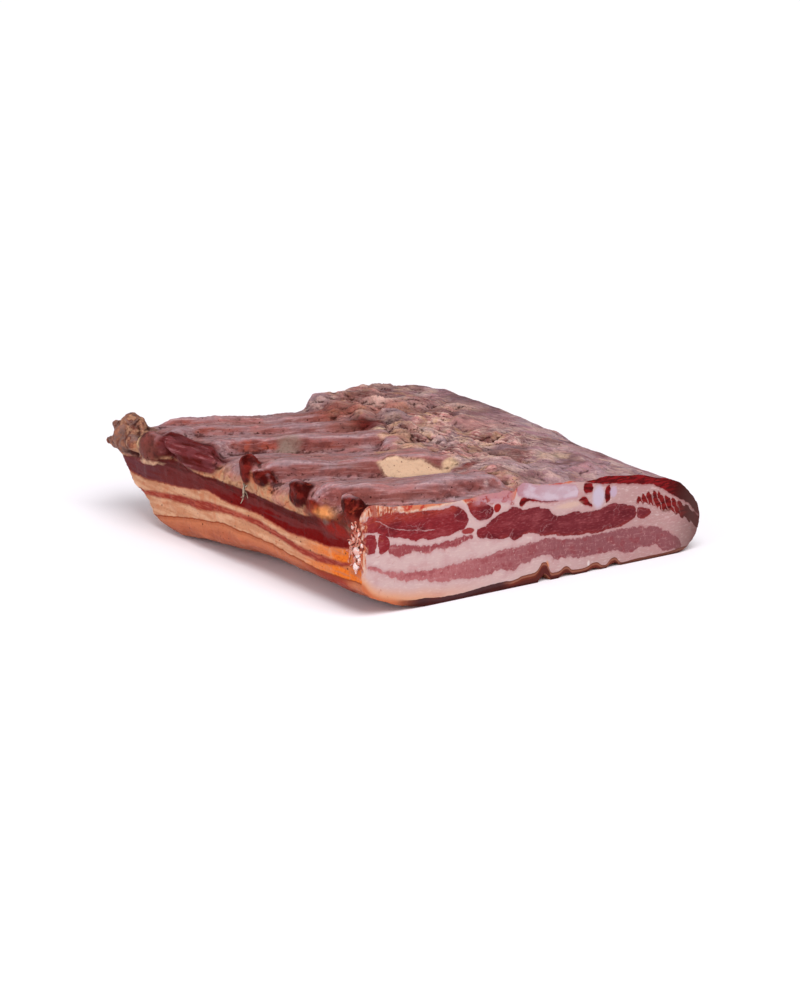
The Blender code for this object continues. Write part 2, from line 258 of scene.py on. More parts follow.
class Painter:
    """Builds one material's node tree. Sizes are millimetres, in the corner's frame."""

    def __init__(self, name: str, corner: NearCorner) -> None:
        """Starts a material.

        Args:
            name: the material's name.
            corner: the slab's frame.
        """
        self.material = bpy.data.materials.new(name)
        self.material.use_nodes = True
        self.tree = self.material.node_tree
        self.shader = self.tree.nodes["Principled BSDF"]
        place = self.node("ShaderNodeTexCoord").outputs["Object"]
        moved = self.vector("SUBTRACT", place, tuple(corner.origin))
        self.position = self.vector("MULTIPLY", moved, (1.0 / MM,) * 3)
        self.x, self.y, self.z = self.split(self.position)

    def node(self, kind: str, **settings: object) -> bpy.types.Node:
        """Adds a node.

        Args:
            kind: Blender's name for the type of node.
            settings: its properties, by name.

        Returns:
            The node.
        """
        made = self.tree.nodes.new(kind)
        for key, value in settings.items():
            setattr(made, key, value)
        return made

    def join(self, value: object, socket: bpy.types.NodeSocket) -> None:
        """Feeds a socket.

        Args:
            value: a wire or an output socket, or a constant for the socket itself.
            socket: the input.
        """
        source = value.socket if isinstance(value, Wire) else value
        if isinstance(source, bpy.types.NodeSocket):
            self.tree.links.new(source, socket)
        elif socket.type == "RGBA":
            socket.default_value = (*source, 1.0)
        else:
            socket.default_value = source

    def fed(self, made: bpy.types.Node, values: tuple[object, ...]) -> Wire:
        """Feeds a node's first inputs with the values, and returns its first output."""
        for value, socket in zip(values, made.inputs):
            self.join(value, socket)
        return Wire(self, made.outputs[0])

    def math(self, operation: str, *values: Value) -> Wire:
        """Returns the result of one Math node on the values."""
        return self.fed(self.node("ShaderNodeMath", operation=operation), values)

    def vector(self, operation: str, *values: object) -> Wire:
        """Returns the vector that one Vector Math node makes of the values."""
        return self.fed(self.node("ShaderNodeVectorMath", operation=operation), values)

    def length(self, vector: Wire) -> Wire:
        """Returns the length of a vector."""
        return Wire(self, self.vector("LENGTH", vector).socket.node.outputs["Value"])

    def split(self, vector: Wire) -> tuple[Wire, ...]:
        """Returns the three parts of a vector."""
        parts = self.fed(self.node("ShaderNodeSeparateXYZ"), (vector,))
        return tuple(Wire(self, part) for part in parts.socket.node.outputs)

    def either(self, *values: Value) -> Value:
        """Returns the greatest of the values."""
        return functools.reduce(lambda most, value: self.math("MAXIMUM", most, value), values)

    def mix(self, share: Value, first: object, second: object, blend: str = "MIX") -> Wire:
        """Mixes two colours.

        Args:
            share: 0 for the first, 1 for the second.
            first: a colour or a wire.
            second: a colour or a wire.
            blend: how the second goes on the first.

        Returns:
            The mixed colour.
        """
        made = self.node("ShaderNodeMix", data_type="RGBA", blend_type=blend)
        for value, number in ((share, 0), (first, 6), (second, 7)):
            self.join(value, made.inputs[number])
        return Wire(self, made.outputs[2])

    def coats(self, ground: object, *coats: tuple[object, ...]) -> Wire:
        """Lays coats of colour over one another.

        Args:
            ground: the colour that they go on.
            coats: each one's colour and share. The share may be a value, where in it the coat
                starts, where it is full, and how much it then covers.

        Returns:
            The colour on top.
        """
        for colour, share, *span in coats:
            if span:
                low, high, *most = span
                rises = low < high
                share = share.rise(low, high, *most) if rises else share.fall(high, low, *most)
            ground = self.mix(share, ground, colour)
        return ground

    def stretched(self, stretch: Colour, turn: float = 0.0) -> Wire:
        """Gives the position drawn out for a grain.

        Args:
            stretch: how long the grain is along each axis, as shares of its size.
            turn: degrees that the grain's X axis is turned about Z.

        Returns:
            The position to give to a texture.
        """
        made = self.node("ShaderNodeMapping", vector_type="TEXTURE")
        made.inputs["Rotation"].default_value = (0.0, 0.0, math.radians(turn))
        made.inputs["Scale"].default_value = stretch
        return self.fed(made, (self.position,))

    def noise_node(
        self,
        size: float,
        at: Wire | None = None,
        detail: float = 3.0,
        roughness: float = 0.55,
        distortion: float = 0.0,
    ) -> bpy.types.Node:
        """Adds a cloudy texture.

        Args:
            size: size of its largest patches.
            at: position to read it at, or None for the plain position.
            detail: number of finer layers.
            roughness: strength of the finer layers.
            distortion: how much it swirls.

        Returns:
            The texture's node.
        """
        made = self.node("ShaderNodeTexNoise")
        self.join(at or self.position, made.inputs["Vector"])
        for name, value in (
            ("Scale", 1.0 / size), ("Detail", detail), ("Roughness", roughness),
            ("Distortion", distortion),
        ):
            made.inputs[name].default_value = value
        return made

    def grain(self, size: float, **settings: object) -> Wire:
        """Returns a cloudy value about 0.5, with the settings of noise_node."""
        return Wire(self, self.noise_node(size, **settings).outputs["Fac"])

    def strayed(self, size: float, reach: float) -> Wire:
        """Gives the position pushed about, so that what reads it gets a natural edge.

        Args:
            size: size of one push.
            reach: how far it pushes at most, either way.

        Returns:
            The pushed position.
        """
        push = self.noise_node(size, detail=4.0, roughness=0.6).outputs["Color"]
        centred = self.vector("SUBTRACT", push, (0.5, 0.5, 0.5))
        push = self.vector("MULTIPLY", centred, (4.0 * reach,) * 3)
        return self.vector("ADD", self.position, push)

    def cells(self, size: float, feature: str = "F1", at: Wire | None = None) -> Wire:
        """Adds a cell texture.

        Args:
            size: size of a cell.
            feature: which distance it gives.
            at: position to read it at, or None for the plain position.

        Returns:
            The distance, as a share of a cell's size.
        """
        made = self.node("ShaderNodeTexVoronoi", feature=feature)
        self.join(at or self.position, made.inputs["Vector"])
        made.inputs["Scale"].default_value = 1.0 / size
        return Wire(self, made.outputs["Distance"])

    def line(self, along: Wire, points: Line, length: float) -> Wire:
        """Follows a drawn line.

        Args:
            along: distance along the slab.
            points: (distance, height) of points of the line.
            length: greatest distance.

        Returns:
            The line's height at that distance.
        """
        low, span = -10.0, 80.0  # the height at the curve's 0, and the span up to its 1
        made = self.node("ShaderNodeFloatCurve")
        curve = made.mapping.curves[0]
        spots = [(x / length, (z - low) / span) for x, z in points]
        if spots[0][0] > 0.0:
            spots.insert(0, (0.0, spots[0][1]))
        if spots[-1][0] < 1.0:
            spots.append((1.0, spots[-1][1]))
        while len(curve.points) < len(spots):
            curve.points.new(0.5, 0.5)
        for point, spot in zip(curve.points, spots):
            point.location = spot
            point.handle_type = "AUTO_CLAMPED"
        made.mapping.update()
        self.join(along * (1.0 / length), made.inputs["Value"])
        return self.math("MULTIPLY_ADD", made.outputs[0], span, low)

    def attribute(self, name: str, part: str = "Fac") -> Wire:
        """Returns one of the mesh's own attributes, as a value or a colour."""
        return Wire(self, self.node("ShaderNodeAttribute", attribute_name=name).outputs[part])

    def bump(self, height: Wire, depth: float, under: Wire | None = None) -> Wire:
        """Adds relief.

        Args:
            height: the relief, from 0 to 1.
            depth: its depth.
            under: relief that it lies on, if any.

        Returns:
            The bent normal.
        """
        made = self.node("ShaderNodeBump")
        made.inputs["Distance"].default_value = depth * MM
        self.join(height, made.inputs["Height"])
        if under is not None:
            self.join(under, made.inputs["Normal"])
        return Wire(self, made.outputs[0])

    def finish(
        self, colour: Wire, roughness: Wire, normal: Wire, gloss: float, glow: float
    ) -> bpy.types.Material:
        """Feeds the shader.

        Args:
            colour: the base colour.
            roughness: the roughness.
            normal: the bent normal.
            gloss: the specular level.
            glow: how much light goes a little way into the meat.

        Returns:
            The material.
        """
        for name, value in (
            ("Base Color", colour), ("Roughness", roughness), ("Normal", normal),
            ("Specular IOR Level", gloss), ("IOR", 1.25), ("Subsurface Weight", glow),
            ("Subsurface Radius", (1.0, 0.4, 0.28)), ("Subsurface Scale", 1.6 * MM),
        ):
            self.join(value, self.shader.inputs[name])
        return self.material


@dataclass(frozen=True)
class Spot:
    """A patch of its own colour, with an uneven edge.

    Args:
        centre: its middle, as (X, Y, Z).
        half: half its size along each axis.
        colour: its colour.
        share: how strongly it covers.
        soft: how blurred its edge is, as a share of its size.
    """

    centre: Colour
    half: Colour
    colour: Colour
    share: float = 1.0
    soft: float = 0.12

    def cover(self, spots: np.ndarray) -> np.ndarray:
        """Returns how strongly the spot covers each of the points."""
        away = np.linalg.norm((spots - np.array(self.centre)) / np.array(self.half), axis=1)
        return self.share * eased(1.0 + self.soft, 1.0 - self.soft, away)

    def on(self, paint: Painter, colour: Wire, at: Wire) -> Wire:
        """Paints the spot with nodes, for faces too large to carry it as an attribute.

        Args:
            paint: the painter.
            colour: the colour that it goes on.
            at: the position, already strayed.

        Returns:
            The new colour.
        """
        away = paint.vector("DIVIDE", paint.vector("SUBTRACT", at, self.centre), self.half)
        share = paint.length(away).fall(1.0 - self.soft, 1.0 + self.soft, self.share)
        return paint.mix(share, colour, self.colour)


@dataclass(frozen=True)
class Muscle:
    """A piece of lean seen in the cut, between two lines drawn from left to right.

    Args:
        top: its upper edge, as (X, Z) points.
        bottom: its lower edge.
    """

    top: Line
    bottom: Line

    def depth(self, paint: Painter, x: Value, z: Value) -> Wire:
        """Measures the muscle.

        Args:
            paint: the painter.
            x: distance along the cut, already strayed.
            z: height, already strayed.

        Returns:
            How far inside the muscle a place lies, below 0 outside.
        """
        top, bottom = (paint.line(x, edge, CUT_WIDTH) for edge in self.closed())
        return paint.math("MINIMUM", z - bottom, top - z)

    def closed(self) -> tuple[Line, Line]:
        """Returns both edges, crossed just past each end, so that the muscle stops there."""
        top, bottom = list(self.top), list(self.bottom)
        for end, step in ((0, -1.0), (-1, 1.0)):
            x, middle = top[end][0], (top[end][1] + bottom[end][1]) / 2
            if 2.0 < x < CUT_WIDTH - 2.0:
                at = 0 if end == 0 else len(top)
                top.insert(at, (x + step, middle - 2.0))
                bottom.insert(0 if end == 0 else len(bottom), (x + step, middle + 2.0))
        return tuple(top), tuple(bottom)


@dataclass(frozen=True)
class CutTones:
    """Colours of a cut through the slab."""

    fat_left: Colour = tone(204, 172, 170)
    fat_right: Colour = tone(182, 142, 140)
    fat_pink: Colour = tone(184, 132, 134)
    fat_pale: Colour = tone(220, 194, 190)
    fat_warm: Colour = tone(222, 152, 106)
    belly_end_shade: Colour = tone(116, 86, 82)
    edge_dark: Colour = tone(92, 44, 44)
    lean_left: Colour = tone(134, 36, 42)
    lean_right: Colour = tone(112, 38, 45)
    lean_warm: Colour = tone(158, 58, 46)
    lean_dark: Colour = tone(92, 22, 30)
    lean_light: Colour = tone(166, 84, 88)
    grainy_left: Colour = tone(180, 108, 110)
    grainy_right: Colour = tone(140, 82, 87)
    grainy_red: Colour = tone(140, 56, 62)
    grainy_dark: Colour = tone(98, 38, 46)
    crumb: Colour = tone(204, 154, 152)
    gristle: Colour = tone(192, 162, 172)
    gristle_pink: Colour = tone(182, 132, 142)
    gristle_pale: Colour = tone(206, 186, 198)
    red: Colour = tone(136, 22, 27)
    red_bright: Colour = tone(176, 34, 34)
    red_dark: Colour = tone(84, 8, 12)
    red_brown: Colour = tone(66, 12, 10)
    comb: Colour = tone(128, 28, 28)
    cap: Colour = tone(206, 108, 66)
    cap_cream: Colour = tone(220, 186, 166)
    rind: Colour = tone(92, 38, 34)
    rind_glow: Colour = tone(112, 48, 36)
    rind_dark: Colour = tone(66, 26, 24)
    rind_orange: Colour = tone(196, 108, 72)
    rind_line: Colour = tone(150, 92, 74)
    rind_shade: Colour = tone(76, 46, 48)


DRIED_END = CutTones(
    fat_left=tone(188, 140, 118), fat_right=tone(170, 122, 104), fat_pink=tone(158, 104, 92),
    fat_pale=tone(204, 160, 136), fat_warm=tone(190, 112, 76), belly_end_shade=tone(120, 88, 76),
    edge_dark=tone(84, 50, 42), lean_left=tone(104, 36, 34), lean_right=tone(92, 34, 34),
    lean_warm=tone(112, 50, 42), lean_dark=tone(70, 24, 24), lean_light=tone(128, 68, 62),
    grainy_left=tone(140, 74, 66), grainy_right=tone(104, 54, 50), grainy_red=tone(110, 48, 44),
    grainy_dark=tone(82, 38, 36), crumb=tone(160, 106, 94), gristle=tone(176, 140, 128),
    gristle_pink=tone(160, 110, 102), gristle_pale=tone(192, 160, 146), red=tone(104, 32, 30),
    red_bright=tone(120, 40, 34), red_dark=tone(66, 20, 20), red_brown=tone(56, 24, 20),
    comb=tone(96, 34, 30), cap=tone(160, 100, 80), cap_cream=tone(178, 136, 116),
    rind=tone(120, 62, 46), rind_glow=tone(140, 76, 52), rind_dark=tone(84, 42, 32),
    rind_orange=tone(170, 96, 66), rind_line=tone(150, 92, 66), rind_shade=tone(90, 52, 44),
)


@dataclass(frozen=True)
class CutFinish:
    """A cut through the slab: streaks of lean and fat, cartilage, and the rind below.

    Args:
        name: the material's name.
        tones: its colours.
        torn: whether the rib edge is ragged.
        roughness: greatest and least roughness.
        gloss: the specular level.
    """

    name: str = "fresh_cut"
    tones: CutTones = CutTones()
    torn: bool = True
    roughness: tuple[float, float] = (0.52, 0.3)
    gloss: float = 0.16
    outline: Line = (
        (0, 60), (14, 60), (18, 58), (22, 54.5), (33, 52.5), (50, 52.5), (61, 53.8),
        (65, 51.5), (82, 50.5), (91, 48.8), (94, 47.5), (97, 53), (101, 58), (107, 55),
        (125, 51.5), (152, 51), (167, 49.3), (175, 48), (185, 45), (195, 41.5), (205, 38),
        (215, 30.5), (219, 25),
    )
    upper: Muscle = Muscle(
        top=((2.0, 50.6), (6, 52.8), (12, 54.6), (19, 54.6), (25, 51.8), (32, 52.2), (38, 50.8),
             (45, 49.6), (55, 49.8), (60, 48.6), (63, 47.6), (66, 43)),
        bottom=((2.0, 45.6), (6, 44.4), (11, 43.2), (18, 40.5), (25, 38.7), (30, 36.8), (38, 36),
                (45, 35), (50, 35.3), (57, 36), (62, 36.8), (66, 40)),
    )
    blocks: tuple[Muscle, ...] = (
        Muscle(((1.6, 41.8), (5, 43.0), (9.0, 42.6)), ((1.6, 35.4), (5, 33.8), (9.0, 33.8))),
        Muscle(((10.9, 42.0), (13, 41.4), (17, 39.8)), ((10.9, 33.6), (13, 32.8), (17, 34))),
    )
    strip: Muscle = Muscle(
        top=((17, 35.8), (22, 35.5), (28, 34.2), (33, 33.4), (38, 31.8), (42, 31.2), (46, 32),
             (57, 32.2), (63, 32.8), (69, 32)),
        bottom=((17, 32), (20, 30.5), (25, 28.5), (28, 30), (33, 30.3), (37, 28.8),
                (42, 27.8), (46, 29.5), (50, 28.5), (60, 29), (65, 30.6), (69, 31.2)),
    )
    neck: Muscle = Muscle(
        top=((65, 50.3), (67, 50.6), (72, 50), (77, 48), (82, 45)),
        bottom=((65, 49), (68, 44), (71, 41), (75, 39.6), (80, 40.6), (82, 43)),
    )
    big: Muscle = Muscle(
        top=((72, 34.5), (76, 36), (80, 38), (85, 40.5), (90, 42.5), (94, 43.6), (98, 42),
             (101, 40.6), (106, 40.8), (110, 40), (117, 38.5), (120, 36), (124, 33.8),
             (137, 33.5), (146, 32.8), (152, 33.2), (160, 34.6), (165, 33.6), (170, 32.5),
             (174, 31), (176, 28.5)),
        bottom=((72, 32), (75, 30), (80, 29), (85, 28), (94, 27.4), (96, 26.4), (99, 26.4),
                (102, 28), (105, 28), (110, 26.8), (113, 25), (122, 24), (127, 22.6),
                (137, 22), (148, 21), (162, 21), (167, 22), (173, 23.5), (176, 26)),
    )
    wedge: Muscle = Muscle(
        top=((176.6, 28.8), (179, 30.2), (182, 28.9), (186, 26.4)),
        bottom=((176.6, 25.2), (180, 24), (186, 25.6)),
    )
    lower: Muscle = Muscle(
        top=((4, 26.5), (10, 25), (14, 23), (20, 21.5), (30, 19.5), (40, 18.7), (60, 19),
             (70, 19.6), (80, 20), (85, 21), (100, 21.5), (110, 22.7), (118, 22.7),
             (125, 21), (133, 20), (140, 19), (147, 19.5), (165, 19.5), (180, 19),
             (190, 17), (197, 13.5), (202, 10), (207, 6.5)),
        bottom=((4, 25.9), (10, 24), (14, 21.5), (20, 18.5), (24, 16.5), (35, 14.5),
                (40, 13.5), (50, 11.5), (62, 11), (68, 10), (80, 10.5), (85, 11.5),
                (95, 9.7), (100, 12), (105, 12.3), (110, 14.3), (118, 14.3), (122, 11),
                (130, 11), (135, 9.5), (152, 9), (160, 9.3), (168, 7), (173, 5.8),
                (177, 7.5), (190, 7), (197, 3), (207, 3)),
    )
    gristle: Muscle = Muscle(
        top=((97, 55), (103, 56.5), (107, 53.4), (115, 52.2), (125, 50.6), (132, 49.6),
             (137, 46.5)),
        bottom=((97, 50), (103, 47), (108, 45.5), (113, 43.6), (120, 42.5), (135, 42),
                (137, 43)),
    )
    crust: Muscle = Muscle(
        top=((140, 56), (219, 56)),
        bottom=((140, 50.4), (146, 48.4), (152, 46.7), (158, 46), (170, 44), (182, 42),
                (187, 41.2), (190, 39.4), (195, 36.8), (200, 33.6), (205, 30.6), (210, 28),
                (215, 24), (219, 20)),
    )
    comb: Muscle = Muscle(
        top=((176, 34), (183, 36), (188, 36.2), (193, 34), (198, 31.8), (203, 29.6),
             (208, 26.6), (213, 23.6), (219, 19)),
        bottom=((176, 33), (183, 31.6), (188, 29.8), (193, 26.8), (198, 24.8), (203, 22.8),
                (208, 20), (213, 17), (219, 13)),
    )
    beside: tuple[Muscle, ...] = (
        Muscle(((140.5, 48), (143, 48.6), (146.5, 48)), ((140.5, 45), (143, 43), (146.5, 43.5))),
        Muscle(((137.5, 40.4), (141, 41.6), (144, 38.6), (146.5, 36)),
               ((137.5, 39.4), (141, 37.4), (144, 36), (146.5, 35.2))),
        Muscle(((155.2, 44.5), (158, 45.5)), ((155.2, 36), (158, 37))),
        Muscle(((98.5, 45.5), (100.5, 47.4), (103, 47.2), (108, 45.6), (113, 44), (124, 42.6)),
               ((98.5, 43.5), (100.5, 42.6), (103, 44.8), (108, 44.4), (113, 43), (124, 42))),
    )
    rind_edge: Line = (
        (0, 20), (10, 10.5), (20, 7), (30, 5), (40, 4.4), (50, 3.2), (60, 3), (80, 4.2),
        (90, 4.4), (94, 4), (98, 4.6), (101, 5.4), (109, 5.8), (112, 8), (115, 10.5),
        (118, 7.5), (121, 3.6), (125, 3.8), (129.5, 5.8), (134, 3), (141, 2.7), (149, 4.6),
        (155, 2), (161.5, 5.2), (167, 1.4), (178, 1.8), (198, 1.8), (210, 3),
    )
    vein: Line = ((9, 49.4), (15, 46.5), (20, 44), (25, 42.8), (32, 41.5), (38, 40.4), (45, 39.6))
    vein_width: float = 0.55
    spots: tuple[Spot, ...] = (
        Spot((66, 0, 35.4), (4.0, 99, 1.7), tone(150, 58, 58)),
        Spot((84.6, 0, 44.6), (2.3, 99, 2.4), tone(150, 34, 32)),
        Spot((89, 0, 48), (2.0, 99, 1.1), tone(172, 62, 50)),
        Spot((93, 0, 49.2), (1.6, 99, 1.0), tone(180, 78, 58)),
        Spot((7, 0, 48), (2.3, 99, 1.0), tone(140, 46, 48)),
        Spot((150.5, 0, 40), (3.9, 99, 5.9), tone(198, 182, 198), 1.0, 0.3),
        Spot((160.5, 0, 41.2), (2.3, 99, 2.9), tone(192, 166, 184), 1.0, 0.3),
        Spot((131, 0, 38.5), (7.5, 99, 1.6), tone(214, 178, 160), 0.7, 0.5),
        Spot((197, 0, 25), (3.0, 99, 0.8), tone(130, 84, 78), 0.7, 0.5),
        Spot((117, 0, 7.5), (1.3, 99, 3.0), tone(216, 128, 60), 0.8, 0.4),
        Spot((144.5, 0, 4.5), (0.7, 99, 1.8), tone(226, 208, 204), 0.9, 0.3),
    )

    def material(self, corner: NearCorner) -> bpy.types.Material:
        """Paints the cut.

        Args:
            corner: the slab's frame.

        Returns:
            The material.
        """
        paint = Painter(self.name, corner)
        x, _, z = paint.split(paint.strayed(3.2, 0.6))
        mottle = paint.grain(8.0, at=paint.stretched((1.8, 1.0, 1.0)), detail=4.0)
        threads = paint.grain(1.1, at=paint.stretched((2.6, 1.0, 0.8)), detail=4.0)
        crumbs = paint.grain(1.8, at=paint.stretched((0.8, 1.0, 1.4)), detail=4.0, roughness=0.7)
        lobes = 0.42 - paint.cells(5.5, at=paint.stretched((1.4, 1.0, 1.0)))
        nicks = 0.42 - paint.cells(3.0, at=paint.stretched((0.9, 1.0, 1.4)))
        dense = (self.upper, self.neck, self.big, self.wedge, *self.blocks)
        deep = paint.either(*(muscle.depth(paint, x, z) for muscle in dense))
        deep = deep + lobes * 1.6 + (threads - 0.5) * 1.6 + 0.4
        solid = deep.rise(-0.25, 0.25)
        away = abs(z - paint.line(x, self.vein, CUT_WIDTH)) + mottle * 1.2
        vein = away.fall(self.vein_width, self.vein_width * 2.0)
        vein = vein * paint.x.between(self.vein[0][0], self.vein[-1][0], 1.0)
        solid = solid * (1.0 - vein * 0.85)
        coarse = (self.lower, self.strip)
        shallow = paint.either(*(muscle.depth(paint, x, z) for muscle in coarse))
        shallow = shallow + nicks * 1.8 + (crumbs - 0.5) * 2.6 + 0.45
        grainy = shallow.rise(-0.35, 0.45)
        colour = self.fat(paint, mottle, threads)
        halo = paint.either(deep, shallow).rise(-2.2, 0.4, 0.5)
        colour = paint.coats(
            colour,
            (self.tones.fat_pink, halo),
            (self.grainy(paint, crumbs), grainy),
            (self.lean(paint, mottle, threads, deep), solid),
        )
        colour = self.gristle_on(paint, colour, x, z, mottle)
        for spot in self.spots:
            colour = spot.on(paint, colour, paint.strayed(3.0, 0.4))
        colour = self.rim_on(paint, colour, z)
        colour = self.rind_on(paint, colour, z, mottle)
        colour = self.edge_on(paint, colour)
        relief = paint.either(solid, grainy) * -0.4 + threads * 0.5 + crumbs * 0.35
        roughness = (threads + solid * -0.15).rise(0.25, 0.75, *self.roughness)
        return paint.finish(colour, roughness, paint.bump(relief, 0.3), self.gloss, 0.1)

    def fat(self, paint: Painter, mottle: Value, threads: Value) -> Wire:
        """Paints the fat.

        Args:
            paint: the painter.
            mottle: broad mottling.
            threads: fine streaks.

        Returns:
            The colour.
        """
        tones = self.tones
        # pale blobs on the fat: painted highlight of wet glints
        wet_glint_highlight = paint.grain(3.2, at=paint.stretched((2.0, 1.0, 0.7)), detail=3.0)
        low = paint.z - paint.line(paint.x, self.rind_edge, CUT_WIDTH) + mottle * 2.0
        warm = low.fall(0.5, 8.5) * paint.x.fall(16.0, 88.0)
        return paint.coats(
            tones.fat_left,
            (tones.fat_right, paint.x, 90.0, 190.0),
            (tones.fat_pink, mottle, 0.48, 0.72, 0.5),
            (tones.fat_pale, threads, 0.5, 0.72, 0.5),
            (tones.fat_pale, wet_glint_highlight, 0.58, 0.7, 0.5),
            (tones.fat_warm, warm * 0.85),
        )

    def edge_on(self, paint: Painter, colour: Wire) -> Wire:
        """Darkens the cut towards the dried belly edge: a grey painted shade over its last few
        centimetres, then the crust's own dark colour at the very edge.

        Args:
            paint: the painter.
            colour: the colour that it goes on.

        Returns:
            The new colour.
        """
        wave = paint.x - paint.z * 0.2 + paint.grain(6.0) * 8.0
        # painted shade: the cut greys towards its belly end
        grey = paint.mix(1.0, colour, self.tones.belly_end_shade, "MULTIPLY")
        grey = paint.mix(0.55, grey, self.tones.belly_end_shade)
        return paint.coats(
            colour,
            (grey, wave, 198.0, 217.0, 0.6),
            (self.tones.edge_dark, wave, 213.0, 222.0, 0.7),
        )

    def lean(self, paint: Painter, mottle: Value, threads: Value, deep: Value) -> Wire:
        """Paints the dense muscles.

        Args:
            paint: the painter.
            mottle: broad mottling.
            threads: fine streaks.
            deep: how far inside a muscle a place lies.

        Returns:
            The colour.
        """
        tones = self.tones
        warm = paint.z.rise(44.5, 50.0, 0.85) * paint.x.fall(84.0, 90.0)
        warm = paint.either(warm, deep.fall(0.6, 2.4, 0.25) * paint.z.fall(30.0, 33.0))
        seams = paint.cells(11.0, "DISTANCE_TO_EDGE", paint.strayed(7.0, 2.2))
        thin = seams.fall(0.006, 0.03) * mottle.rise(0.46, 0.6, 0.35)
        flecks = paint.cells(7.0, at=paint.stretched((1.6, 1.0, 0.6))).fall(0.02, 0.1, 0.8)
        return paint.coats(
            tones.lean_left,
            (tones.lean_right, paint.x, 30.0, 130.0),
            (tones.lean_warm, warm),
            (tones.lean_dark, mottle, 0.48, 0.66, 0.75),
            (tones.lean_light, mottle, 0.46, 0.3, 0.35),
            (tones.lean_light, threads, 0.5, 0.72, 0.6),
            (tones.lean_dark, threads, 0.46, 0.32, 0.5),
            (tones.fat_pink, paint.either(thin, flecks)),
        )

    def grainy(self, paint: Painter, crumbs: Value) -> Wire:
        """Paints the coarse-grained muscles.

        Args:
            paint: the painter.
            crumbs: their grain.

        Returns:
            The colour.
        """
        tones = self.tones
        patches = paint.grain(5.0, at=paint.stretched((1.3, 1.0, 1.0)), detail=3.0)
        red = paint.either(paint.z.rise(27.0, 30.0, 0.8), patches.rise(0.5, 0.64, 0.5))
        strands = paint.grain(2.0, at=paint.stretched((0.55, 1.0, 3.2)), detail=2.0)
        strands = strands.rise(0.6, 0.7, 0.3) * paint.x.fall(40.0, 110.0)
        flecks = paint.cells(2.6, at=paint.strayed(2.0, 0.5)).fall(0.08, 0.24, 0.5)
        flecks = flecks * patches.rise(0.42, 0.58) * paint.x.fall(60.0, 140.0)
        streaks = paint.grain(1.6, at=paint.stretched((5.0, 1.0, 1.0)), detail=3.0)
        return paint.coats(
            tones.grainy_left,
            (tones.grainy_right, paint.x, 15.0, 150.0),
            (tones.grainy_red, red),
            (tones.grainy_dark, crumbs, 0.46, 0.3, 0.4),
            (tones.crumb, crumbs, 0.55, 0.68, 0.55),
            (tones.crumb, strands),
            (tones.crumb, streaks, 0.52, 0.7, 0.25),
            (tones.fat_pale, flecks),
        )

    def gristle_on(self, paint: Painter, colour: Wire, x: Value, z: Value, mottle: Value) -> Wire:
        """Paints the cartilage, the red about it, the comb muscle and the dark crust above.

        Args:
            paint: the painter.
            colour: the colour that they go on.
            x: distance along the cut, already strayed.
            z: height, already strayed.
            mottle: broad mottling.

        Returns:
            The new colour.
        """
        tones = self.tones
        strands = paint.grain(1.6, at=paint.stretched((5.0, 1.0, 1.0)), detail=3.0)
        ring = self.gristle.depth(paint, x, z)
        red = paint.mix(strands.rise(0.4, 0.62), tones.red_dark, tones.red)
        beside = paint.either(*(muscle.depth(paint, x, z) for muscle in self.beside))
        pearl = paint.coats(
            tones.gristle,
            (tones.gristle_pink, paint.x, 122.0, 98.0),
            (tones.gristle_pale, mottle, 0.45, 0.6, 0.8),
            (tones.gristle_pink, ring, 1.6, 0.2, 0.55),
        )
        phase = x + z * 0.4 + paint.grain(5.0) * 3.5
        teeth = paint.math("SINE", phase * 1.7)
        comb = self.comb.depth(paint, x, z - teeth * 0.8) + (strands - 0.5) * 1.4 + 0.5
        gaps = teeth.fall(-1.0, -0.7) * paint.x.fall(202.0, 208.0)
        share = comb.rise(-0.3, 0.5) * (1.0 - gaps * 0.55)
        dark = paint.x.rise(200.0, 216.0)
        flesh = paint.mix(strands.rise(0.45, 0.65), tones.comb, tones.red_dark)
        crust = paint.coats(
            tones.red,
            (tones.red_dark, strands, 0.4, 0.56),
            (tones.red_bright, strands, 0.58, 0.66, 0.7),
            (tones.red_brown, paint.x, 192.0, 208.0),
        )
        over = self.crust.depth(paint, x, z)
        return paint.coats(
            colour,
            (tones.gristle_pink, ring, -1.6, 0.0, 0.5),
            (tones.red, beside, -1.3, 0.3, 0.45),
            (red, beside, -0.3, 0.35),
            (pearl, ring, -0.3, 0.5),
            (paint.mix(dark, flesh, tones.red_brown), share),
            (tones.red, over, -1.6, 0.0, 0.4),
            (crust, over, -0.3, 0.3),
        )

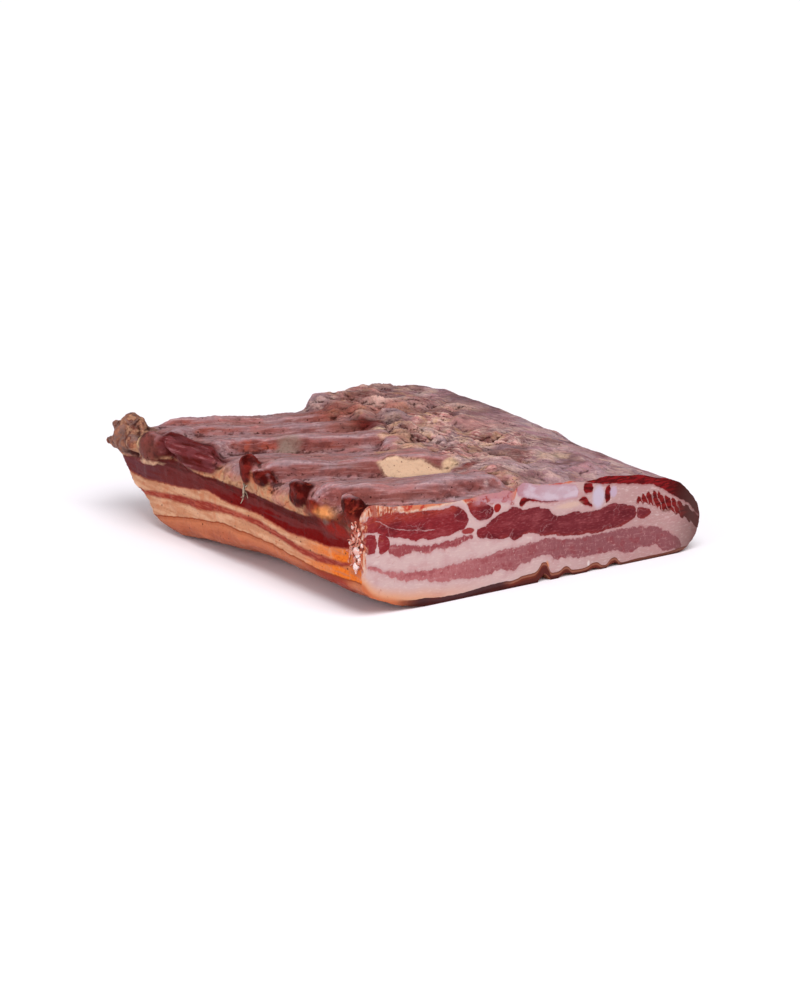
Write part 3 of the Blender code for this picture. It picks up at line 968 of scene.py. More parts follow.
    def rim_on(self, paint: Painter, colour: Wire, z: Value) -> Wire:
        """Paints the rim under the top edge and the ragged rib edge.

        Args:
            paint: the painter.
            colour: the colour that they go on.
            z: height, already strayed.

        Returns:
            The new colour.
        """
        tones = self.tones
        deep = paint.line(paint.x, self.outline, CUT_WIDTH) - z
        shreds = paint.grain(4.6, at=paint.strayed(6.0, 2.4), detail=4.0, roughness=0.55)
        cream = deep.fall(0.9, 2.3) * paint.x.between(20.0, 66.0, 2.0)
        warm = paint.mix(shreds.rise(0.46, 0.6, 0.8), tones.cap_cream, tones.cap)
        thin = deep.fall(0.2, 1.2) * paint.x.between(26.0, 147.0, 3.0)
        rim = paint.mix(shreds.rise(0.45, 0.6), tones.cap, tones.red_bright)
        flesh = deep.fall(1.6, 4.4) * paint.x.between(70.0, 95.0, 3.0)
        bits = shreds.rise(0.54, 0.62) * deep.fall(2.0, 4.4) * paint.x.between(64.0, 97.0, 3.0)
        colour = paint.coats(
            colour,
            (warm, cream),
            (rim, thin * 0.85),
            (tones.gristle_pink, flesh * 0.75),
            (tones.lean_warm, bits * 0.8),
        )
        cap = z.rise(50.0, 56.0) + (shreds - 0.5) * 2.0
        cap = paint.x.fall(16.0, 26.0) * cap.rise(0.2, 0.5)
        hairs = paint.grain(2.0, at=paint.stretched((0.7, 1.0, 2.4)), detail=4.0, distortion=1.0)
        warm = paint.coats(
            tones.cap,
            (tones.cap_cream, hairs, 0.36, 0.6),
            (tones.lean_warm, shreds, 0.44, 0.58, 0.8),
            (tones.lean_dark, hairs, 0.44, 0.3, 0.6),
        )
        colour = paint.mix(cap, colour, warm)
        if self.torn:
            ragged = paint.x + shreds * 14.0
            edge = ragged.fall(8.0, 11.5) * z.between(24.0, 53.0, 3.0) * paint.x.fall(3.5, 5.5)
            colour = paint.mix(edge, colour, warm)
        return colour

    def rind_on(self, paint: Painter, colour: Wire, z: Value, mottle: Value) -> Wire:
        """Paints the rind: dark at the left, arched in thin layers at the right.

        Args:
            paint: the painter.
            colour: the colour that it goes on.
            z: height, already strayed.
            mottle: broad mottling.

        Returns:
            The new colour.
        """
        tones = self.tones
        level = paint.z * 0.65 + z * 0.35
        over = level - paint.line(paint.x, self.rind_edge, CUT_WIDTH)
        plain = paint.coats(
            tones.rind_shade,
            (tones.rind_dark, over, -1.0, -3.0),
            (tones.rind, mottle, 0.5, 0.66, 0.6),
        )
        glow = paint.mix(mottle.rise(0.46, 0.6), tones.rind_glow, tones.rind)
        layers = paint.coats(
            tones.rind_line,
            (glow, over, -1.3, -1.9),
            (tones.rind, over, -2.2, -3.4),
            (tones.rind, over, -0.75, -0.5, 0.6),
            (tones.rind_dark, paint.z.fall(0.6, 1.8) * 0.8),
        )
        left = (paint.x + mottle * 16.0).fall(24.0, 46.0)
        warm = paint.mix(paint.z.fall(1.0, 4.0), tones.rind_orange, tones.rind_dark)
        rind = paint.coats(
            plain,
            (layers, paint.x, 86.0, 96.0),
            (warm, left),
        )
        soft = 0.12 + left * 1.6
        return paint.mix(over.fall(soft * -1.0, soft), colour, rind)


@dataclass(frozen=True)
class DriedTones:
    """Colours of the dried outside."""

    mauve: Colour = tone(152, 106, 102)
    mauve_cool: Colour = tone(150, 124, 130)
    mauve_pink: Colour = tone(168, 110, 108)
    mauve_pale: Colour = tone(192, 160, 160)
    mauve_dark: Colour = tone(108, 60, 56)
    front: Colour = tone(128, 66, 60)
    front_warm: Colour = tone(158, 66, 44)
    front_dark: Colour = tone(94, 40, 38)
    # dark of pepper grains and cracks, and painted shade in the skin's deepest hollows
    pepper_and_crevice_shade: Colour = tone(52, 14, 10)
    rough: Colour = tone(162, 120, 118)
    rough_grey: Colour = tone(128, 106, 114)
    rough_tan: Colour = tone(206, 162, 130)
    rough_pink: Colour = tone(204, 140, 136)
    rough_red: Colour = tone(134, 62, 54)
    rough_pale: Colour = tone(222, 186, 174)
    rough_low: Colour = tone(104, 58, 54)
    belly: Colour = tone(168, 140, 152)
    belly_dark: Colour = tone(134, 104, 116)
    belly_pink: Colour = tone(178, 130, 138)
    bare_fat: Colour = tone(212, 176, 148)
    bare_fat_pink: Colour = tone(204, 160, 142)
    plug: Colour = tone(60, 8, 6)
    plug_light: Colour = tone(108, 30, 24)
    strand: Colour = tone(104, 42, 44)
    strand_pale: Colour = tone(158, 102, 104)
    gristle: Colour = tone(140, 92, 74)
    gristle_dark: Colour = tone(94, 46, 38)
    gristle_pale: Colour = tone(172, 130, 104)
    gristle_grey: Colour = tone(122, 96, 90)
    rind: Colour = tone(174, 96, 70)
    rind_near: Colour = tone(150, 56, 42)
    rind_far: Colour = tone(198, 120, 84)
    cream: Colour = tone(196, 138, 104)
    cream_pale: Colour = tone(214, 164, 130)
    cream_peach: Colour = tone(190, 116, 82)
    orange: Colour = tone(232, 120, 34)
    orange_dark: Colour = tone(196, 80, 26)
    red: Colour = tone(146, 54, 42)
    red_pale: Colour = tone(180, 92, 72)
    lean: Colour = tone(110, 8, 6)
    lean_dark: Colour = tone(84, 20, 16)
    lean_mauve: Colour = tone(108, 40, 38)
    lean_purple: Colour = tone(108, 54, 58)
    brown_line: Colour = tone(140, 58, 30)
    fat: Colour = tone(188, 142, 108)
    fat_dark: Colour = tone(130, 78, 54)
    fat_peach: Colour = tone(186, 118, 86)
    skin: Colour = tone(176, 104, 78)
    skin_dark: Colour = tone(122, 66, 50)


@dataclass(frozen=True)
class DriedFinish:
    """The dried outside: layered rib side, bloomed ribs above, knobbly cartilage, rind below."""

    tones: DriedTones = DriedTones()
    length: float = 264.0
    rib_turn: float = -26.0  # the ribs' way across the slab, from X towards the cut
    fibre_turn: float = -58.0  # the belly muscle's fibres
    roughness: tuple[float, float] = (0.6, 0.36)
    gloss: float = 0.12
    brown_line: Line = (
        (3, 18.5), (20, 17.5), (40, 16.8), (50, 17.3), (70, 19), (85, 19.6), (130, 19.6),
        (143, 17.5), (160, 15.3), (178, 12), (190, 9.7), (200, 8), (215, 6),
    )
    red_low: Line = (
        (5, 26), (20, 23), (40, 21), (50, 21.3), (70, 23.5), (90, 25.5), (105, 26.5),
        (130, 25.5), (150, 22.3), (180, 20.3), (200, 18.5), (215, 17),
    )
    red_high: Line = (
        (5, 27.5), (20, 26), (40, 25), (50, 25), (70, 27), (90, 29), (100, 29.7),
        (130, 28.6), (145, 28), (160, 26), (180, 24), (200, 21.5), (215, 19.5),
    )
    lean_low: Line = (
        (5, 34.5), (13, 33.5), (20, 32.5), (30, 31), (50, 30.5), (60, 29.8), (80, 31), (95, 32.4),
        (130, 31.5), (148, 33.4), (160, 31), (172, 29.5), (190, 27.8), (218, 26),
        (240, 27),
    )
    lean_high: Line = (
        (5, 44), (20, 45.5), (35, 46), (45, 43.5), (57, 41.4), (80, 41.5), (100, 42.4),
        (140, 42), (162, 44), (178, 43.5), (190, 42), (215, 39), (228, 35),
        (240, 34),
    )
    side_spots: tuple[Spot, ...] = (
        Spot((0, 36, 47.6), (12, 7.5, 2.8), tone(224, 146, 84), 0.85, 0.6),
        Spot((0, 46, 45.4), (12, 6, 2.4), tone(116, 54, 46), 0.85, 0.5),
        Spot((0, 12, 46), (12, 15, 6.5), tone(112, 34, 22), 0.95, 0.4),
        Spot((0, 23, 41), (12, 13, 3.4), tone(150, 34, 26), 0.75, 0.6),
        Spot((0, 119, 40), (12, 9, 2.6), tone(104, 16, 12), 0.8, 0.5),
        Spot((0, 31.6, 43.6), (12, 2.4, 1.8), tone(118, 92, 84), 0.85, 0.4),
        Spot((0, 11.8, 44.4), (12, 2.4, 2.0), tone(134, 96, 78), 0.8, 0.5),
        Spot((0, 43, 49.6), (12, 5.5, 3.0), tone(140, 42, 30), 0.8, 0.5),
        Spot((0, 3.5, 36), (8, 7.5, 12), tone(176, 92, 76), 0.8, 0.6),
        Spot((0, 221, 38.2), (12, 8, 1.8), tone(60, 18, 14), 0.9, 0.4),
        Spot((0, 200, 47.5), (14, 12.5, 8.5), tone(112, 56, 50), 0.95, 0.25),
        Spot((-4, 197, 39.4), (8, 8.0, 1.5), tone(208, 166, 136), 0.95, 0.35),
        Spot((-4.5, 210, 48.3), (6, 4.0, 3.4), tone(210, 170, 132), 0.95, 0.35),
        Spot((0, 191, 44.5), (12, 2.0, 3.2), tone(66, 26, 26), 0.7, 0.5),
    )
    top_spots: tuple[Spot, ...] = (
        Spot((48, 141, 52), (7, 6, 12), tone(146, 128, 116), 0.7, 0.6),
        Spot((77, 88, 55), (5, 7, 12), tone(192, 148, 118), 0.8, 0.5),
        Spot((96, 93, 55), (7, 7, 12), tone(196, 152, 122), 0.7, 0.6),
        Spot((103, 110, 55), (5.5, 8, 12), tone(180, 138, 114), 0.75, 0.5),
        Spot((113, 161, 50), (12, 12, 14), tone(98, 18, 12), 0.95, 0.6),
        Spot((107, 142, 54), (6, 5, 12), tone(214, 180, 154), 0.85, 0.5),
        Spot((117, 130, 56), (5, 9, 12), tone(204, 162, 132), 0.75, 0.6),
        Spot((134, 158, 54), (9, 8, 12), tone(130, 110, 118), 0.65, 0.6),
        Spot((88, 48, 54), (4.5, 4.0, 12), tone(214, 178, 146), 0.95, 0.4),
        Spot((151, 41, 52), (9, 6, 12), tone(214, 178, 156), 0.8, 0.5),
        Spot((187, 170, 48), (10, 13, 12), tone(184, 146, 130), 0.5, 0.7),
        Spot((167, 130, 50), (15, 13, 12), tone(194, 134, 132), 0.6, 0.7),
        Spot((97, 40, 56), (9, 3.6, 12), tone(128, 48, 40), 0.7, 0.6),
        Spot((124, 52, 54), (9, 8, 12), tone(136, 104, 100), 0.6, 0.7),
        Spot((140, 185, 51), (26, 17, 12), tone(182, 118, 104), 0.6, 0.8),
        Spot((117, 197, 50), (15, 17, 12), tone(138, 68, 54), 0.75, 0.7),
        Spot((101, 166, 51), (9, 9, 12), tone(136, 78, 66), 0.6, 0.7),
        Spot((148, 215, 50), (18, 9, 12), tone(138, 84, 76), 0.6, 0.7),
        Spot((172, 189, 50), (13, 9, 12), tone(136, 94, 98), 0.6, 0.7),
        Spot((206, 187, 46), (13, 18, 12), tone(116, 80, 80), 0.6, 0.8),
        Spot((149, 198, 51), (9, 5.5, 12), tone(220, 178, 166), 0.85, 0.5),
        Spot((133, 142, 52), (10, 5, 12), tone(212, 166, 146), 0.7, 0.6),
        Spot((150, 88, 54), (11, 6, 12), tone(200, 142, 140), 0.6, 0.7),
        Spot((136, 70, 54), (9, 6, 12), tone(120, 90, 96), 0.6, 0.7),
    )

    def material(self, corner: NearCorner) -> bpy.types.Material:
        """Paints the dried outside.

        Args:
            corner: the slab's frame.

        Returns:
            The material.
        """
        tones = self.tones
        paint = Painter("dried_surface", corner)
        broad = paint.grain(18.0, detail=3.0, distortion=0.5)
        middle = paint.grain(6.0, detail=4.0, roughness=0.6)
        fine = paint.grain(1.5, detail=4.0, roughness=0.65)
        rough, rib_side = paint.attribute("rough"), paint.attribute("rib_side")
        ribs, streaks = self.ribs(paint, broad, middle)
        knobs, knob_relief = self.knobs(paint, broad, middle, fine)
        belly, fibres = self.belly(paint, broad)
        tide = paint.grain(24.0, at=paint.strayed(16.0, 5.0), detail=2.0)
        dark = tide.rise(0.5, 0.64, 0.5) * rough
        pale = tide.fall(0.38, 0.48, 0.4) * rough
        fat = paint.mix(broad.rise(0.5, 0.7, 0.5), tones.bare_fat, tones.bare_fat_pink)
        bare = paint.attribute("bare_fat")
        rim = bare * (1.0 - bare) * 3.0
        side, side_relief = self.rib_side(paint, broad, middle, fine)
        colour = paint.coats(
            ribs,
            (knobs, rough),
            (belly, paint.attribute("belly")),
            (tones.rough_low, dark),
            (tones.mauve_pale, pale),
            (fat, bare),
            (tones.front_dark, rim * middle.rise(0.4, 0.56)),
            (side, rib_side),
        )
        colour = self.ends_on(paint, colour, middle, fine)
        tint = paint.attribute("tint", "Color")
        shade = paint.mix(1.0, tint, (0.6,) * 3, "MULTIPLY")
        tint = paint.mix(middle.rise(0.36, 0.54), shade, tint)
        skin, pores = self.skin(paint, middle)
        under = paint.attribute("underside")
        # cavity: how far the skin lies below its evened form; the deepest hollows get painted
        # shade
        cavity = paint.attribute("cavity") + (fine - 0.5) * 1.4
        deep = cavity.rise(0.4, 1.6, 0.72) * (1.0 - bare * 0.7)
        colour = paint.coats(
            colour,
            (tint, paint.attribute("covered")),
            (self.flank(paint, middle), paint.attribute("flank")),
            (skin, under),
            # painted shade in the deepest hollows
            (tones.pepper_and_crevice_shade, deep),
        )
        # painted highlight: crests, where the skin stands above its evened form, are brightened
        lit = paint.mix(1.0, colour, (1.22, 1.2, 1.2), "MULTIPLY")
        colour = paint.mix(cavity.fall(-1.0, -0.2), colour, lit)
        shade = paint.mix(1.0, colour, (0.66, 0.62, 0.62), "MULTIPLY")
        colour = paint.coats(
            colour,
            (shade, fine, 0.5, 0.3, 0.6),
            (tones.pepper_and_crevice_shade, self.specks(paint) * (1.0 - under)),
        )
        normal = paint.bump(fine * 0.5 + middle * 0.5, 0.35)
        normal = paint.bump(knob_relief * rough, 1.1, normal)
        smooth = 1.0 - paint.either(rough, rib_side)
        normal = paint.bump((streaks + fibres) * smooth, 0.5, normal)
        normal = paint.bump(side_relief * rib_side, 0.5, normal)
        normal = paint.bump(pores * under, 0.4, normal)
        roughness = (middle + rough * 0.15).rise(0.3, 0.75, *self.roughness)
        return paint.finish(colour, roughness, normal, self.gloss, 0.05)

    def ribs(self, paint: Painter, broad: Value, middle: Value) -> tuple[Wire, Wire]:
        """Paints the bloomed ridges that the ribs left, with a painted sheen on their crests and
        painted shade in the hollows between them.

        Args:
            paint: the painter.
            broad: broad mottling.
            middle: middle mottling.

        Returns:
            The colour, and the streaks that run along the ridges.
        """
        tones = self.tones
        along = paint.stretched((11.0, 1.0, 1.0), self.rib_turn)
        streaks = paint.grain(3.2, at=along, detail=4.0, distortion=0.4)
        threads = paint.grain(1.3, at=along, detail=3.0, distortion=0.3)
        hollow = paint.attribute("hollow")
        # crest: where the ridges stand above the evened skin; it carries a cool grey painted sheen
        crest = hollow.fall(-1.1, -0.1) * streaks.rise(0.36, 0.56)
        far = paint.y.rise(84.0, 128.0) * paint.x.fall(44.0, 84.0)
        warm = broad.rise(0.4, 0.56) * far
        front = paint.coats(
            tones.front,
            (tones.front_warm, warm),
            (tones.front_dark, middle, 0.44, 0.62, 0.7),
            (tones.mauve_pink, threads, 0.52, 0.66, 0.35),
        )
        face = paint.attribute("front") + (streaks - 0.5) * 0.9
        colour = paint.coats(
            tones.mauve_pink,
            (tones.mauve, streaks, 0.42, 0.6),
            (tones.mauve_cool, broad, 0.44, 0.6, 0.6),
            # cool grey painted sheen on the crests
            (tones.mauve_cool, crest * 0.75),
            (tones.mauve_pale, threads, 0.52, 0.68, 0.55),
            (tones.mauve_dark, threads, 0.46, 0.3, 0.5),
            (front, face, 0.1, 1.1, 0.9),
        )
        # painted shade: darker red-brown in the hollows at the foot of each ridge
        low = hollow + (middle - 0.5) * 1.2
        return paint.mix(low.rise(0.6, 1.5, 0.75), colour, tones.front_dark), streaks

    def knobs(self, paint: Painter, broad: Value, middle: Value, fine: Value) -> tuple[Wire, Wire]:
        """Paints the knobbly zone over the cartilage, with painted highlights on its crests and
        painted shade in its lows.

        Args:
            paint: the painter.
            broad: broad mottling.
            middle: middle mottling.
            fine: fine mottling.

        Returns:
            The colour and its relief.
        """
        tones = self.tones
        flow = paint.stretched((4.0, 1.0, 1.0), self.fibre_turn)
        bands = paint.grain(4.0, at=flow, detail=5.0, roughness=0.6, distortion=1.6)
        hairs = paint.grain(1.3, at=flow, detail=3.0, distortion=1.0)
        flakes = paint.strayed(11.0, 4.5)
        patch = paint.grain(13.0, at=flakes, detail=4.0)
        other = paint.grain(10.0, at=paint.vector("ADD", flakes, (31.0, 7.0, 0.0)), detail=4.0)
        edges = paint.cells(15.0, "DISTANCE_TO_EDGE", flakes)
        crest = paint.attribute("crest")
        low = crest + (middle - 0.5) * 0.7
        crack = edges.fall(0.006, 0.03) * middle.rise(0.48, 0.6)
        colour = paint.coats(
            tones.rough_pink,
            (tones.rough, patch, 0.42, 0.58),
            (tones.rough_tan, other, 0.5, 0.58, 0.85),
            (tones.rough_grey, broad, 0.47, 0.6, 0.8),
            (tones.rough_red, other, 0.46, 0.34, 0.5),
            (tones.rough_pale, bands, 0.5, 0.62, 0.75),
            (tones.rough_low, bands, 0.47, 0.34, 0.8),
            # painted highlight on the relief's crests, then painted shade in its lows
            (tones.rough_pale, crest, 0.55, 0.85, 0.3),
            (tones.rough_low, low, 0.46, 0.16, 0.6),
            (tones.rough_pale, hairs, 0.54, 0.68, 0.45),
            (tones.rough_low, hairs, 0.44, 0.32, 0.4),
            (tones.pepper_and_crevice_shade, crack * 0.65),
        )
        relief = edges.rise(0.0, 0.1, 0.3) + bands + hairs * 0.4 + fine * 0.3
        return colour, relief

    def belly(self, paint: Painter, broad: Value) -> tuple[Wire, Wire]:
        """Paints the thin muscle along the belly edge.

        Args:
            paint: the painter.
            broad: broad mottling.

        Returns:
            The colour, and its fibres.
        """
        tones = self.tones
        along = paint.stretched((8.0, 1.0, 1.0), self.fibre_turn)
        fibres = paint.grain(2.4, at=along, detail=4.0, distortion=0.6)
        hairs = paint.grain(1.1, at=along, detail=3.0)
        patch = paint.grain(13.0, at=paint.strayed(11.0, 4.5), detail=4.0)
        colour = paint.coats(
            tones.belly,
            (tones.belly_dark, fibres, 0.4, 0.6),
            (tones.belly_pink, broad, 0.44, 0.58, 0.85),
            (tones.mauve_pale, hairs, 0.54, 0.68, 0.5),
            (tones.mauve_dark, hairs, 0.44, 0.32, 0.5),
            (tones.rough_pale, patch, 0.52, 0.6, 0.5),
            (tones.rough_low, patch, 0.44, 0.36, 0.5),
        )
        return paint.mix(fibres.rise(0.57, 0.68, 0.3), colour, tones.rough_tan), fibres

    def ends_on(self, paint: Painter, colour: Wire, middle: Value, fine: Value) -> Wire:
        """Paints the muscle ends between the ribs, the bundles above the side, and the stump.

        Args:
            paint: the painter.
            colour: the colour that they go on.
            middle: middle mottling.
            fine: fine mottling.

        Returns:
            The new colour.
        """
        tones = self.tones
        broad = paint.grain(9.0, detail=3.0)
        plug = paint.coats(
            tones.plug,
            (tones.plug_light, broad, 0.44, 0.6),
            (tones.front_warm, middle, 0.56, 0.7, 0.5),
        )
        strands = paint.grain(3.0, at=paint.stretched((1.0, 10.0, 1.0), 8.0), detail=4.0)
        bundle = paint.coats(
            tones.lean_dark,
            (tones.strand, strands, 0.38, 0.56),
            (tones.strand_pale, strands, 0.56, 0.68, 0.7),
            (tones.lean_purple, broad, 0.48, 0.6, 0.6),
        )
        patch = paint.grain(4.0, at=paint.strayed(5.0, 2.0), detail=3.0)
        stump = paint.coats(
            tones.gristle,
            (tones.gristle_dark, middle, 0.44, 0.6),
            (tones.gristle_grey, patch, 0.48, 0.6, 0.8),
            (tones.gristle_pale, patch, 0.48, 0.38, 0.7),
            (tones.gristle_pale, fine, 0.54, 0.7, 0.5),
        )
        return paint.coats(
            colour,
            (plug, paint.attribute("plug")),
            (bundle, paint.attribute("bundle")),
            (stump, paint.attribute("stump")),
        )

    def rib_side(
        self, paint: Painter, broad: Value, middle: Value, fine: Value
    ) -> tuple[Wire, Wire]:
        """Paints the layers of the rib side.

        Args:
            paint: the painter.
            broad: broad mottling.
            middle: middle mottling.
            fine: fine mottling.

        Returns:
            The colour, and how far each layer stands out.
        """
        tones = self.tones
        _, y, z = paint.split(paint.strayed(4.0, 0.4))
        bands = paint.grain(2.6, at=paint.stretched((1.0, 9.0, 1.0)), detail=4.0)
        threads = paint.grain(1.0, at=paint.stretched((1.0, 8.0, 1.0)), detail=3.0)
        marks = (self.brown_line, self.red_low, self.red_high, self.lean_low, self.lean_high)
        over = [z - paint.line(y, mark, self.length) for mark in marks]
        past = [away.rise(-soft, soft) for away, soft in zip(over, (0.25, 0.9, 0.9, 0.4, 0.5))]
        wander = paint.y + broad * 24.0
        near = wander.fall(42.0, 76.0) * wander.rise(18.0, 32.0)
        rind = paint.coats(
            tones.rind,
            (tones.rind_far, over[0], -7.0, -0.5),
            (tones.rind_far, bands, 0.45, 0.6, 0.4),
            (tones.rind_near, near),
            (tones.rind_near, paint.z, 3.5, 1.0, 0.7),
        )
        glow = paint.coats(
            tones.orange,
            (tones.orange_dark, fine, 0.5, 0.64, 0.8),
            (tones.cream_peach, bands, 0.48, 0.64, 0.7),
            (tones.cream_pale, middle, 0.54, 0.68, 0.5),
        )
        cream = paint.coats(
            tones.cream,
            (tones.cream_pale, bands, 0.42, 0.6),
            (tones.cream_peach, middle, 0.5, 0.66, 0.6),
            (glow, wander, 78.0, 30.0),
        )
        red = paint.mix(threads.rise(0.46, 0.62, 0.7), tones.red, tones.red_pale)
        crack = paint.cells(12.0, "DISTANCE_TO_EDGE", paint.strayed(5.0, 1.6))
        crack = crack.fall(0.01, 0.04, 0.6) * middle.rise(0.46, 0.58)
        fat = paint.coats(
            tones.fat,
            (tones.fat_peach, middle, 0.46, 0.62),
            (tones.mauve_pink, broad, 0.5, 0.62, 0.5),
            (tones.fat_dark, middle, 0.46, 0.34, 0.7),
            (tones.lean_dark, crack),
        )
        line = abs(over[0]).fall(0.2, 0.7, 0.85)
        line = paint.either(line, over[0].between(-1.6, 0.0, 0.6) * 0.3)
        colour = paint.coats(rind, (cream, past[0]), (tones.brown_line, line))
        layers = (red, cream, self.lean(paint, over, bands, wander), fat)
        colour = paint.coats(colour, *zip(layers, past[1:]))
        for away, tint, most in ((over[3], tones.red_pale, 0.5), (over[4], tones.lean_dark, 0.6)):
            colour = paint.mix(abs(away).fall(0.2, 0.8, most), colour, tint)
        lean_share = past[1] - past[2] + (past[3] - past[4])
        relief = lean_share * -0.7 + bands * 0.6 + threads * 0.3
        return colour, relief

    def lean(self, paint: Painter, over: list[Value], bands: Value, wander: Value) -> Wire:
        """Paints the wide muscle of the rib side, from deep red below to brown above.

        Args:
            paint: the painter.
            over: how far above each of the side's lines a place lies.
            bands: streaks that run along the side.
            wander: distance along the side, unevenly.

        Returns:
            The colour.
        """
        tones = self.tones
        share = over[3] / paint.either(over[3] - over[4], 1.0) + (bands - 0.5) * 1.1
        low = wander.rise(130.0, 175.0) * share.fall(0.5, 0.75)
        far = paint.mix(bands.rise(0.42, 0.6), tones.lean_purple, tones.lean_mauve)
        return paint.coats(
            tones.lean,
            (tones.lean_mauve, share, 0.36, 0.52),
            (tones.lean_dark, share, 0.62, 0.76),
            (tones.strand, bands, 0.56, 0.66, 0.5),
            (tones.lean_mauve, low),
            (far, wander, 190.0, 225.0),
        )

    def flank(self, paint: Painter, middle: Value) -> Wire:
        """Paints the dried layers of the belly edge.

        Args:
            paint: the painter.
            middle: middle mottling.

        Returns:
            The colour.
        """
        tones = self.tones
        streaks = paint.grain(2.8, at=paint.stretched((1.0, 9.0, 1.0)), detail=4.0)
        z = paint.z + middle * 11.0 + streaks * 11.0 + -11.0
        return paint.coats(
            tones.skin_dark,
            (tones.fat_dark, z, 6.0, 9.0),
            (tones.strand, z, 10.0, 14.0),
            (tones.mauve_dark, z, 18.0, 24.0),
            (tones.belly_dark, z, 27.0, 38.0),
            (tones.mauve_pink, streaks, 0.54, 0.7, 0.5),
        )

    def skin(self, paint: Painter, middle: Value) -> tuple[Wire, Wire]:
        """Paints the rind's outer side.

        Args:
            paint: the painter.
            middle: middle mottling.

        Returns:
            The colour and its pores.
        """
        tones = self.tones
        pores = paint.cells(2.4)
        colour = paint.mix(middle.rise(0.4, 0.62), tones.skin, tones.skin_dark)
        return paint.mix(pores.fall(0.08, 0.2, 0.7), colour, tones.skin_dark), pores

    def specks(self, paint: Painter) -> Wire:
        """Returns where grains of pepper stick to the meat."""
        grains = paint.cells(6.0).fall(0.06, 0.11)
        bits = paint.cells(3.0).fall(0.07, 0.13) * paint.grain(20.0).rise(0.46, 0.58)
        return paint.either(grains, bits) * 0.9


@dataclass(frozen=True)
class ShredFinish:
    """Torn strings and crumbs of fat: pale, pink and tan, a little see-through."""

    name: str
    pale: Colour
    pink: Colour
    dark: Colour
    size: float = 2.2
    roughness: tuple[float, float] = (0.55, 0.3)

    def material(self, corner: NearCorner) -> bpy.types.Material:
        """Paints the shreds.

        Args:
            corner: the slab's frame.

        Returns:
            The material.
        """
        paint = Painter(self.name, corner)
        patches = paint.grain(self.size, detail=3.0)
        fine = paint.grain(self.size / 4.0, detail=3.0)
        colour = paint.coats(
            self.pale,
            (self.pink, patches, 0.44, 0.56),
            (self.dark, fine, 0.56, 0.68, 0.7),
        )
        roughness = fine.rise(0.3, 0.7, *self.roughness)
        return paint.finish(colour, roughness, paint.bump(fine, 0.15), 0.25, 0.15)


@dataclass(frozen=True)
class FloorFinish:
    """A pale, matt studio floor, which stays white where the lamps no longer reach."""

    corner: NearCorner
    colour: Colour = (0.935, 0.905, 0.95)
    roughness: float = 0.9
    far_glow: float = 0.45  # added where the lamps no longer reach
    glow_near: float = -1800.0  # distances over which the glow grows, from its negative
    glow_far: float = 2400.0

    def material(self) -> bpy.types.Material:
        """Returns the floor's material."""
        paint = Painter("pale_floor", self.corner)
        away = paint.length(paint.position)
        glow = away.rise(self.glow_near, self.glow_far, self.far_glow, -self.far_glow)
        paint.join(paint.either(glow, 0.0), paint.shader.inputs["Emission Strength"])
        paint.join(self.colour, paint.shader.inputs["Base Color"])
        paint.shader.inputs["Emission Color"].default_value = (1.0, 1.0, 1.0, 1.0)
        paint.shader.inputs["Roughness"].default_value = self.roughness
        paint.shader.inputs["Specular IOR Level"].default_value = 0.0
        return paint.material


# ------------------------------------------------------------------ pieces


class Push(Enum):
    """Kinds of relief that are pushed into the slab's skin."""

    LUMPS = "lumps"
    CREASES = "creases"


@dataclass(frozen=True)
class Relief:
    """One layer of relief, whose grain can run along the skin.

    Args:
        kind: what it is made of.
        along: size of one lump along the grain.
        across: its size across the grain.
        depth: about how far it goes from low to high.
        region: the part of the skin that it acts in.
        turn: degrees that the grain is turned about Z, from X.
        swirl: how far the grain is pushed about, as a share of a lump.
    """

    kind: Push
    along: float
    across: float
    depth: float
    region: str
    turn: float = 0.0
    swirl: float = 0.6

    def heights(self, spots: np.ndarray) -> np.ndarray:
        """Gives the layer's heights.

        Args:
            spots: points of the skin, in the corner's frame.

        Returns:
            How far each point goes outwards.
        """
        if not len(spots):
            return np.zeros(0)
        turn = math.radians(self.turn)
        x, y, z = spots.T
        ahead = (x * math.cos(turn) + y * math.sin(turn)) / self.along
        aside = (y * math.cos(turn) - x * math.sin(turn)) / self.across
        heights = np.empty(len(spots))
        for number, place in enumerate(zip(ahead, aside, z / self.across)):
            spot = Vector(place)
            spot += noise.noise_vector(spot * 0.5) * self.swirl
            if self.kind is Push.CREASES:
                heights[number] = -noise.ridged_multi_fractal(spot, 1.0, 2.0, 4, 1.0, 2.0)
            else:
                heights[number] = noise.fractal(spot, 1.0, 2.0, 4)
        even = (heights - heights.mean()) / (4.0 * max(heights.std(), 1e-6))
        return np.clip(even, -0.6, 0.6) * self.depth


